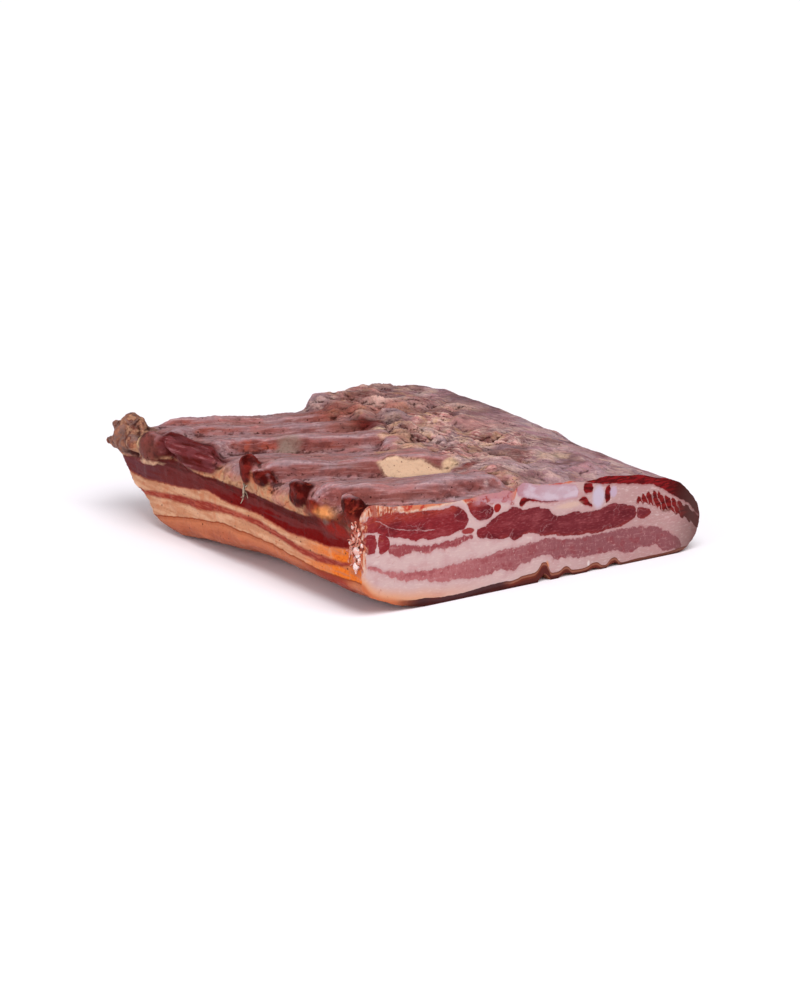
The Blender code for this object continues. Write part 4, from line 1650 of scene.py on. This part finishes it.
@dataclass
class Slab:
    """The whole piece of meat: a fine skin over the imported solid."""

    corner: NearCorner
    dried: DriedFinish = DriedFinish()
    fresh_cut: CutFinish = CutFinish()
    dried_end: CutFinish = CutFinish("dried_end", DRIED_END, False, (0.65, 0.45), 0.15)
    grid: float = 1.2  # spacing of the skin's points
    spare: float = 4.0  # drawn out past the cut and the resting face, then cut off again
    fillings: tuple[tuple[Colour, float], ...] = (
        ((6.9, 189.6, 51.0), 3.4), ((6.0, 184.9, 50.2), 3.0),
    )
    rough_edge: Line = (
        (0, 95), (12, 92), (30, 86), (48, 88), (62, 94), (82, 95), (100, 88), (114, 94),
        (130, 106), (150, 111), (185, 112), (210, 117), (240, 124),
    )
    smooth_from: float = 156.0
    smooth_full: float = 192.0
    fat_patch: Line = (
        (57.5, 70), (63.5, 69), (68.3, 65.3), (74.3, 60.2), (79.6, 55.6), (84.5, 51), (87, 45),
        (80, 40), (70, 41), (63, 48), (59, 58),
    )
    plugs: tuple[tuple[float, float, float, float], ...] = (
        (9, 53.8, 13.0, 7.5), (57.5, 52.0, 10.0, 7.0), (43, 49, 7.0, 3.4),
        (107, 55.0, 6.5, 8.5), (93, 52.4, 8.0, 4.2),
    )
    reliefs: tuple[Relief, ...] = (
        Relief(Push.LUMPS, 22.0, 12.0, 4.2, "rough", -50.0, 0.9),
        Relief(Push.CREASES, 18.0, 9.0, 2.2, "rough", -40.0, 1.2),
        Relief(Push.LUMPS, 9.0, 3.0, 0.7, "rough", -50.0),
        Relief(Push.LUMPS, 60.0, 9.0, 1.0, "ribs", -26.0, 0.5),
        Relief(Push.LUMPS, 16.0, 11.0, 1.0, "ribs", -26.0),
        Relief(Push.LUMPS, 24.0, 2.6, 0.35, "ribs", -26.0, 0.4),
        Relief(Push.LUMPS, 3.0, 2.4, 0.3, "ribs", -26.0),
        Relief(Push.LUMPS, 12.0, 10.0, 0.9, "outside"),
        Relief(Push.LUMPS, 26.0, 2.6, 0.6, "outside", 90.0, 0.3),
        Relief(Push.LUMPS, 44.0, 4.2, 1.5, "bundle", 96.0, 0.4),
        Relief(Push.LUMPS, 6.0, 5.0, 1.0, "plug", 0.0, 0.8),
        Relief(Push.CREASES, 9.0, 6.0, 1.6, "stump", 60.0, 0.8),
        Relief(Push.CREASES, 4.0, 3.0, 1.4, "ragged", 0.0, 1.0),
    )
    piece: bpy.types.Object = field(init=False, repr=False, default=None)

    def build(self, node: bpy.types.Object) -> bpy.types.Object:
        """Builds and dresses the slab.

        Args:
            node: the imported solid.

        Returns:
            The piece.
        """
        self.piece = linked("pancetta_slab", node.data.copy())
        self.piece.data.materials.clear()
        for finish in (self.dried, self.fresh_cut, self.dried_end):
            self.piece.data.materials.append(finish.material(self.corner))
        self.draw_out()
        self.skin()
        self.press_relief()
        self.keep_in_box(*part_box(NODE))
        self.slice_at(Vector((0.0, -1.0, 0.0)))
        self.slice_at(Vector((0.0, 0.0, -1.0)))
        self.mark_surface()
        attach(self.piece, BODY)
        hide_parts(NODE)
        return self.piece

    def draw_out(self) -> None:
        """Fills the gap under the bundles, and draws the flat faces out past their planes."""
        block = bmesh.new()
        block.from_mesh(self.piece.data)
        bmesh.ops.remove_doubles(block, verts=block.verts, dist=0.01 * MM)
        for centre, radius in self.fillings:
            inside = Matrix.Translation(self.corner.place(*centre))
            bmesh.ops.create_icosphere(block, subdivisions=2, radius=radius * MM, matrix=inside)
        for axis in (1, 2):
            plane = self.corner.origin[axis]
            faces = [
                f
                for f in block.faces
                if f.normal[axis] < -0.99
                and abs(f.calc_center_median()[axis] - plane) < 0.05 * MM
            ]
            made = bmesh.ops.extrude_face_region(block, geom=faces)
            outward = Vector((0.0, 0.0, 0.0))
            outward[axis] = -self.spare * MM
            moved = [v for v in made["geom"] if isinstance(v, bmesh.types.BMVert)]
            bmesh.ops.translate(block, verts=moved, vec=outward)
            bmesh.ops.delete(block, geom=faces, context="FACES")
        block.to_mesh(self.piece.data)
        block.free()

    def skin(self) -> None:
        """Covers the slab with an even grid of small faces."""
        remesh = self.piece.modifiers.new("skin", "REMESH")
        remesh.mode = "VOXEL"
        remesh.voxel_size = self.grid * MM
        remesh.use_smooth_shade = True
        smooth = self.piece.modifiers.new("smooth", "SMOOTH")
        smooth.factor = 0.5
        smooth.iterations = 4
        settle_modifiers(self.piece)

    def points(self) -> tuple[np.ndarray, np.ndarray]:
        """Reads the skin.

        Returns:
            The points in the corner's frame, in millimetres, and their normals.
        """
        mesh = self.piece.data
        spots = np.empty(len(mesh.vertices) * 3)
        mesh.vertices.foreach_get("co", spots)
        normals = np.empty(len(mesh.vertices) * 3)
        mesh.vertex_normals.foreach_get("vector", normals)
        return (spots.reshape(-1, 3) - np.array(self.corner.origin)) / MM, normals.reshape(-1, 3)

    def rough_share(self, spots: np.ndarray) -> np.ndarray:
        """Returns 1 for points in the zone of cartilage and 0 for the others."""
        edge_y, edge_x = np.array(self.rough_edge, dtype=float).T
        edge = np.interp(spots[:, 1], edge_y, edge_x)
        edge = edge + 16.0 * cloud(spots, 14.0) + 6.0 * cloud(spots, 5.0)
        return eased(-4.0, 4.0, spots[:, 0] - edge) * (1.0 - self.patch_share(spots))

    def patch_share(self, spots: np.ndarray) -> np.ndarray:
        """Returns 1 for points on the bare patch of fat and 0 for the others."""
        corners = np.array(self.fat_patch, dtype=float)
        sides = np.roll(corners, -1, axis=0) - corners
        outward = np.stack((-sides[:, 1], sides[:, 0]), axis=1)
        outward /= np.linalg.norm(outward, axis=1)[:, None]
        away = (spots[:, None, :2] - corners) * outward
        return eased(0.9, -0.9, away.sum(axis=2).max(axis=1) + 1.4 * cloud(spots, 9.0))

    def regions(self, spots: np.ndarray, normals: np.ndarray) -> dict[str, np.ndarray]:
        """Divides the skin into the regions that the layers of relief act in.

        Args:
            spots: the skin's points.
            normals: their evened normals.

        Returns:
            How much each point belongs to each region, from 0 to 1.
        """
        x, y, z = spots.T
        above = eased(0.15, 0.6, normals[:, 2]) * eased(26.0, 32.0, z)
        rough = self.rough_share(spots) * above
        plug = self.plug_share(spots)
        bundle, stump = self.bundle_share(spots), self.stump_share(spots)
        ragged = eased(8.0, 3.0, x) * eased(14.0, 9.0, y)
        ragged = ragged * eased(22.0, 26.0, z) * eased(50.0, 46.0, z)
        plain = 1.0 - np.maximum.reduce((plug, bundle, stump, ragged))
        craggy = 0.35 + 0.7 * eased(-0.2, 0.25, cloud(spots, 26.0))
        return {
            "rough": rough * craggy * (1.0 - 0.75 * self.calm_share(spots)),
            "ribs": above * (1.0 - rough) * (1.0 - 0.8 * self.patch_share(spots)) * plain,
            "outside": (1.0 - above) * eased(0.5, 3.0, z) * plain,
            "bundle": bundle,
            "plug": plug,
            "stump": stump,
            "ragged": ragged,
        }

    def calm_share(self, spots: np.ndarray) -> np.ndarray:
        """Returns 1 for points of the calm margins, at the belly and by the cut, else 0."""
        x, y = spots[:, 0], spots[:, 1]
        wave = 30.0 * cloud(spots, 22.0)
        belly = eased(self.smooth_from, self.smooth_full, x - 0.1 * y + wave)
        by_cut = 0.8 * eased(62.0, 22.0, y - 0.35 * (x - 110.0) + wave) * eased(96.0, 112.0, x)
        return np.maximum(belly, by_cut)

    def press_relief(self) -> None:
        """Pushes the layers of relief in, and keeps the rough zone's as an attribute."""
        spots, normals = self.points()
        outward = self.smoothed(normals, 2)
        outward /= np.linalg.norm(outward, axis=1)[:, None]
        pushed = np.zeros(len(spots))
        crest = np.zeros(len(spots))
        shares = self.regions(spots, outward)
        for relief in self.reliefs:
            share = shares[relief.region]
            chosen = np.flatnonzero(share > 0.01)
            layer = relief.heights(spots[chosen]) * share[chosen]
            pushed[chosen] += layer
            if relief.region == "rough":
                crest[chosen] += layer
        mesh = self.piece.data
        places = spots + outward * pushed[:, None]
        mesh.vertices.foreach_set("co", (places * MM + np.array(self.corner.origin)).ravel())
        mesh.update()
        # the rough zone's relief height; from it the dried finish paints highlights on the crests
        # and shade in the lows
        attribute = mesh.attributes.new("crest", "FLOAT", "POINT")
        shares = np.clip(0.5 + crest / 4.0, 0.0, 1.0).astype(np.float32)
        attribute.data.foreach_set("value", shares)

    def plug_share(self, spots: np.ndarray) -> np.ndarray:
        """Returns 1 for points on the muscle ends between the ribs and 0 for the others."""
        x, y, z = spots.T
        share = np.zeros(len(x))
        for along, up, half_y, half_z in self.plugs:
            away = np.hypot((y - along) / half_y, (z - up) / half_z)
            share = np.maximum(share, eased(1.1, 0.85, away) * eased(10.0, 6.0, x))
        return share

    def bundle_share(self, spots: np.ndarray) -> np.ndarray:
        """Returns 1 for points on the bundles above the rib side and 0 for the others."""
        x, y, z = spots.T
        return eased(15.0, 9.0, x) * eased(136, 142, y) * eased(194, 189, y) * eased(43, 45, z)

    def stump_share(self, spots: np.ndarray) -> np.ndarray:
        """Returns 1 for points on the stump at the far corner and 0 for the others."""
        x, y, z = spots.T
        return eased(212.0, 217.0, y) * eased(24.0, 16.0, x) * eased(34.5, 38.0, z)

    def tinted(self, spots: np.ndarray) -> tuple[np.ndarray, np.ndarray]:
        """Lays the dried finish's spots over one another.

        Args:
            spots: the skin's points.

        Returns:
            The colour at each point, and how strongly it covers there.
        """
        colours, covered = np.zeros((len(spots), 3)), np.zeros(len(spots))
        layers = ((self.dried.top_spots, 6.0, 4.0), (self.dried.side_spots, 3.0, 1.2))
        for group, size, reach in layers:
            pushes = np.array([noise.noise_vector(Vector(spot)) for spot in spots / size])
            for spot in group:
                share = spot.cover(spots + reach * pushes)
                colours += (np.array(spot.colour) - colours) * share[:, None]
                covered += (1.0 - covered) * share
        return colours / np.maximum(covered, 1e-6)[:, None], covered

    def keep_in_box(self, low: Vector, high: Vector) -> None:
        """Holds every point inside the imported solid's box, but for the part that is sliced off.

        Args:
            low: the box's lowest corner.
            high: its highest corner.
        """
        mesh = self.piece.data
        spots = np.empty(len(mesh.vertices) * 3)
        mesh.vertices.foreach_get("co", spots)
        least = np.array(low) - np.array((0.0, 2.0, 2.0)) * self.spare * MM
        spots = np.clip(spots.reshape(-1, 3), least, np.array(high))
        mesh.vertices.foreach_set("co", spots.ravel())
        mesh.update()

    def slice_at(self, outward: Vector) -> None:
        """Cuts the skin flat through the near corner and closes it.

        Args:
            outward: the way that the cut faces.
        """
        block = bmesh.new()
        block.from_mesh(self.piece.data)
        made = bmesh.ops.bisect_plane(
            block,
            geom=block.verts[:] + block.edges[:] + block.faces[:],
            plane_co=self.corner.origin,
            plane_no=outward,
            clear_outer=True,
        )
        rim = [e for e in made["geom_cut"] if isinstance(e, bmesh.types.BMEdge)]
        for lid in bmesh.ops.contextual_create(block, geom=rim)["faces"]:
            lid.smooth = False
            lid.material_index = 1 if outward.y < 0.0 else 0
        bmesh.ops.recalc_face_normals(block, faces=block.faces)
        bmesh.ops.triangulate(block, faces=[f for f in block.faces if len(f.verts) > 4])
        block.to_mesh(self.piece.data)
        block.free()

    def smoothed(self, spots: np.ndarray, rounds: int) -> np.ndarray:
        """Evens out the skin.

        Args:
            spots: its points.
            rounds: how many times each point moves to the middle of its neighbours.

        Returns:
            The points of the evened skin.
        """
        mesh = self.piece.data
        ends = np.empty(len(mesh.edges) * 2, dtype=np.int64)
        mesh.edges.foreach_get("vertices", ends)
        one, other = ends.reshape(-1, 2).T
        count = len(spots)
        near = np.bincount(one, minlength=count) + np.bincount(other, minlength=count)
        near = np.maximum(near, 1)
        for _ in range(rounds):
            total = [
                np.bincount(one, weights=spots[other, axis], minlength=count)
                + np.bincount(other, weights=spots[one, axis], minlength=count)
                for axis in range(3)
            ]
            spots = np.stack(total, axis=1) / near[:, None]
        return spots

    def mark_surface(self) -> None:
        """Writes the attributes that the dried finish reads, and gives the far end its finish."""
        spots, normals = self.points()
        x, y, z = spots.T
        inner = eased(1.0, 4.0, y) * eased(0.5, 3.0, z)
        # cavity and hollow: how far each point lies below the evened skin, finely and broadly;
        # from them the dried finish paints shade in the hollows and highlight and sheen on the
        # crests
        cavity = ((self.smoothed(spots, 3) - spots) * normals).sum(1) * inner
        hollow = ((self.smoothed(spots, 45) - spots) * normals).sum(1) * inner
        broad = self.smoothed(normals, 2)
        facing = -0.55 * broad[:, 0] - 0.83 * broad[:, 1]
        rough = self.rough_share(spots)
        patch = self.patch_share(spots)
        upper = eased(0.2, 0.55, broad[:, 2] + 0.02 * (z - 46.0))
        side = eased(26.0, 14.0, x) * eased(-0.15, -0.5, broad[:, 0])
        side = side * (1.0 - upper * eased(46, 52, z))
        side = np.maximum(side, eased(44.0, 40.0, z) * eased(30.0, 20.0, x))
        edge = x + 10.0 * cloud(spots, 14.0)
        flank = eased(200.0, 213.0, edge) * eased(0.8, 0.15, broad[:, 2]) * eased(0.5, 5.0, y)
        tints, covered = self.tinted(spots)
        values = {
            "cavity": cavity * (0.35 + 0.65 * upper) / (0.18 + 0.04 * rough),
            "hollow": hollow / 1.6,
            "front": eased(0.35, 0.85, facing) * (1.0 - rough),
            "rough": rough,
            "belly": self.calm_share(spots),
            "rib_side": side,
            "underside": (
                eased(-0.3, -0.6, broad[:, 2]) * eased(16.0, 10.0, z) * (1.0 - 0.7 * side)
            ),
            "plug": self.plug_share(spots),
            "bundle": self.bundle_share(spots),
            "stump": self.stump_share(spots),
            "flank": flank,
            "bare_fat": patch * upper,
            "covered": covered,
        }
        for name, weights in values.items():
            attribute = self.piece.data.attributes.new(name, "FLOAT", "POINT")
            attribute.data.foreach_set("value", np.asarray(weights, dtype=np.float32))
        tint = self.piece.data.attributes.new("tint", "FLOAT_COLOR", "POINT")
        tint.data.foreach_set("color", np.insert(tints, 3, 1.0, axis=1).astype(np.float32).ravel())
        back = self.smoothed(normals, 9)[:, 1]
        for face in self.piece.data.polygons:
            middle = (face.center - self.corner.origin) / MM
            if middle.y > 205.0 and middle.x > 14.0 and back[list(face.vertices)].mean() > 0.62:
                face.material_index = 2


@dataclass
class Shreds:
    """Strings and crumbs that stick to the slab where it was torn.

    Args:
        name: the piece's name.
        corner: the slab's frame.
        ground: the slab, to which they stick.
        finish: their finish.
        strings: (Y, Z, way along Y, way along Z, length, radius) of each string of the rib side.
        crumbs: (Y, Z, size) of each crumb.
    """

    name: str
    corner: NearCorner
    ground: bpy.types.Object
    finish: ShredFinish
    strings: tuple[tuple[float, ...], ...]
    crumbs: tuple[tuple[float, float, float], ...] = ()
    sides: int = 7
    rings: int = 7
    block: bmesh.types.BMesh = field(init=False, repr=False, default=None)
    tree: BVHTree = field(init=False, repr=False, default=None)

    def build(self) -> bpy.types.Object:
        """Builds the strings and crumbs as one piece, and returns it."""
        self.block = bmesh.new()
        solid = bmesh.new()
        solid.from_mesh(self.ground.data)
        self.tree = BVHTree.FromBMesh(solid)
        solid.free()
        for string in self.strings:
            self.add_string(*string)
        for crumb in self.crumbs:
            self.add_crumb(*crumb)
        bmesh.ops.recalc_face_normals(self.block, faces=self.block.faces)
        mesh = bpy.data.meshes.new(self.name)
        self.block.to_mesh(mesh)
        self.block.free()
        for face in mesh.polygons:
            face.use_smooth = True
        mesh.materials.append(self.finish.material(self.corner))
        piece = linked(self.name, mesh)
        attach(piece, BODY)
        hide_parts(NODE)
        return piece

    def on_side(self, y: float, z: float, proud: float) -> Vector:
        """Finds a place on the rib side.

        Args:
            y: distance from the cut, at least 0.
            z: height.
            proud: how far it stands out of the meat.

        Returns:
            The place, in the corner's frame.
        """
        eye = self.corner.place(-40.0, max(y, 0.3), z)
        hit = self.tree.ray_cast(eye, Vector((1.0, 0.0, 0.0)))[0]
        x = (hit.x - self.corner.origin.x) / MM if hit else 0.0
        return Vector((x - proud, max(y, 0.5), z))

    def add_string(
        self, y: float, z: float, way_y: float, way_z: float, length: float, radius: float
    ) -> None:
        """Adds a tapered string that lies on the side and lifts off towards its end.

        Args:
            y: where it starts.
            z: its starting height.
            way_y: how its way goes along Y.
            way_z: how its way goes along Z.
            length: its length.
            radius: its radius at the start.
        """
        string = bmesh.new()
        bmesh.ops.create_cone(
            string, cap_ends=True, segments=self.sides, radius1=radius, radius2=0.35 * radius,
            depth=length,
        )
        long = [e for e in string.edges if abs(e.verts[0].co.z - e.verts[1].co.z) > 0.5 * length]
        bmesh.ops.subdivide_edges(string, edges=long, cuts=self.rings)
        reach = math.hypot(way_y, way_z)
        ahead = Vector((0.0, way_y / reach, way_z / reach))
        aside = Vector((0.0, -ahead.z, ahead.y))
        for vert in string.verts:
            share = vert.co.z / length + 0.5
            wave = noise.noise(Vector((y, z, share * 2.2))) * 0.28 * length * share
            spot = Vector((0.0, y, z)) + ahead * (share * length) + aside * wave
            proud = radius * 0.4 + 0.28 * length * share * share
            middle = self.on_side(spot.y, spot.z, proud)
            swell = 1.0 + 0.4 * noise.noise(Vector((y * 3.0, z, share * 5.0)))
            place = middle + (aside * vert.co.x + Vector((vert.co.y, 0.0, 0.0))) * swell
            vert.co = self.corner.place(place.x, max(place.y, 0.02), place.z)
        made = bpy.data.meshes.new("string")
        string.to_mesh(made)
        string.free()
        self.block.from_mesh(made)
        bpy.data.meshes.remove(made)

    def add_crumb(self, y: float, z: float, size: float) -> None:
        """Adds a lumpy crumb.

        Args:
            y: its distance from the cut.
            z: its height.
            size: its radius.
        """
        middle = self.on_side(y, z, 0.35 * size)
        for vert in bmesh.ops.create_icosphere(self.block, subdivisions=3, radius=size)["verts"]:
            bulge = 1.0 + 0.7 * noise.noise(vert.co * (1.1 / size) + Vector((y, z, size)))
            stretch = Vector((0.7 * vert.co.x, vert.co.y, 1.25 * vert.co.z))
            spot = middle + stretch * bulge
            vert.co = self.corner.place(spot.x, max(spot.y, 0.02), spot.z)


@dataclass(frozen=True)
class Lamp:
    """A large round lamp that faces the slab.

    Args:
        name: its name.
        place_m: where it hangs.
        size_m: its diameter.
        power: its power, in watts.
        colour: its colour.
        shines: whether shiny surfaces show it.
    """

    name: str
    place_m: tuple[float, float, float]
    size_m: float
    power: float
    colour: Colour = (1.0, 1.0, 1.0)
    shines: bool = True

    def hang(self) -> None:
        """Adds the lamp to the scene."""
        data = bpy.data.lights.new(self.name, "AREA")
        data.shape = "DISK"
        data.size = self.size_m
        data.energy = self.power
        data.color = self.colour
        lamp = bpy.data.objects.new(self.name, data)
        lamp.visible_glossy = self.shines
        lamp.location = self.place_m
        lamp.rotation_euler = (-Vector(self.place_m)).to_track_quat("-Z", "Y").to_euler()
        bpy.context.scene.collection.objects.link(lamp)


@dataclass
class Studio:
    """Floor, lights and camera."""

    corner: NearCorner
    floor_side_m: float = 30.0
    azimuth: float = -35.0  # 0 looks along +Y, and it turns anticlockwise
    elevation: float = 15.5
    eye: tuple[float, float, float] = (-858.83, -1260.53, 487.57)
    lens: float = 116.25
    sensor: float = 36.0
    sky: float = 0.55
    sheen: float = 0.12  # what shiny surfaces see of the sky
    lamps: tuple[Lamp, ...] = (
        Lamp("key", (-0.3, -1.1, 1.7), 1.6, 33.0),
        Lamp("fill", (-1.5, -0.2, 0.5), 1.2, 8.5, (1.0, 0.9, 0.94), False),
    )

    def build(self) -> None:
        """Sets up the floor, the light and the camera."""
        self.lay_floor()
        self.hang_lights()
        self.set_camera()

    def lay_floor(self) -> None:
        """Lays the floor under the slab."""
        block = bmesh.new()
        bmesh.ops.create_grid(block, x_segments=1, y_segments=1, size=self.floor_side_m / 2)
        mesh = bpy.data.meshes.new("floor")
        block.to_mesh(mesh)
        block.free()
        floor = linked("floor", mesh)
        floor.location = (0.0, 0.0, self.corner.origin.z)
        mesh.materials.append(FloorFinish(self.corner).material())

    def hang_lights(self) -> None:
        """Hangs large soft lamps in an even sky that the camera sees as white."""
        world = bpy.data.worlds.new("sky")
        bpy.context.scene.world = world
        world.use_nodes = True
        nodes, links = world.node_tree.nodes, world.node_tree.links
        background = nodes["Background"]
        background.inputs["Color"].default_value = (1.0, 1.0, 1.0, 1.0)
        seen = nodes.new("ShaderNodeLightPath")
        strength: object = self.sky
        for kind, power in (("Is Glossy Ray", self.sheen), ("Is Camera Ray", 1.05)):
            choice = nodes.new("ShaderNodeMapRange")
            links.new(seen.outputs[kind], choice.inputs["Value"])
            if isinstance(strength, float):
                choice.inputs["To Min"].default_value = strength
            else:
                links.new(strength, choice.inputs["To Min"])
            choice.inputs["To Max"].default_value = power
            strength = choice.outputs[0]
        links.new(strength, background.inputs["Strength"])
        for lamp in self.lamps:
            lamp.hang()

    def set_camera(self) -> None:
        """Places the camera as the photograph's was."""
        turn, lift = math.radians(self.azimuth), math.radians(self.elevation)
        back = Vector(
            (math.sin(turn) * math.cos(lift), -math.cos(turn) * math.cos(lift), math.sin(lift))
        )
        right = Vector((math.cos(turn), math.sin(turn), 0.0))
        up = back.cross(right)
        data = bpy.data.cameras.new("camera")
        data.sensor_fit = "VERTICAL"
        data.sensor_height = self.sensor
        data.lens = self.lens
        camera = bpy.data.objects.new("camera", data)
        axes = Matrix((right, up, back)).transposed().to_4x4()
        camera.matrix_world = Matrix.Translation(self.corner.place(*self.eye)) @ axes
        bpy.context.scene.collection.objects.link(camera)
        bpy.context.scene.camera = camera
        bpy.context.scene.view_settings.view_transform = "Standard"


def main() -> None:
    """Builds the scene."""
    logging.basicConfig(level=logging.INFO, format="%(message)s")
    noise.seed_set(SEED)
    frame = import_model()
    corner = NearCorner.of_node(NODE)
    piece = Slab(corner).build(frame["nodes"][NODE])
    LOG.info("%s: %d faces", piece.name, len(piece.data.polygons))
    torn = ShredFinish("torn_strings", tone(224, 166, 146), tone(204, 106, 88), tone(140, 40, 34))
    fat = ShredFinish("torn_fat", tone(236, 216, 212), tone(226, 176, 164), tone(206, 120, 104))
    herb = ShredFinish("dry_stalk", tone(176, 160, 140), tone(128, 104, 92), tone(84, 58, 50))
    for name, finish, strings, crumbs in (
        ("torn_edge", torn, TORN_STRINGS, ()),
        ("fat_crumbs", fat, (), FAT_CRUMBS),
        ("herb_stalk", herb, STALK, ()),
    ):
        shreds = Shreds(name, corner, piece, finish, strings, crumbs).build()
        LOG.info("%s: %d faces", shreds.name, len(shreds.data.polygons))
    Studio(corner).build()
    LOG.info("studio: floor, light and camera")


if __name__ == "__main__":
    main()
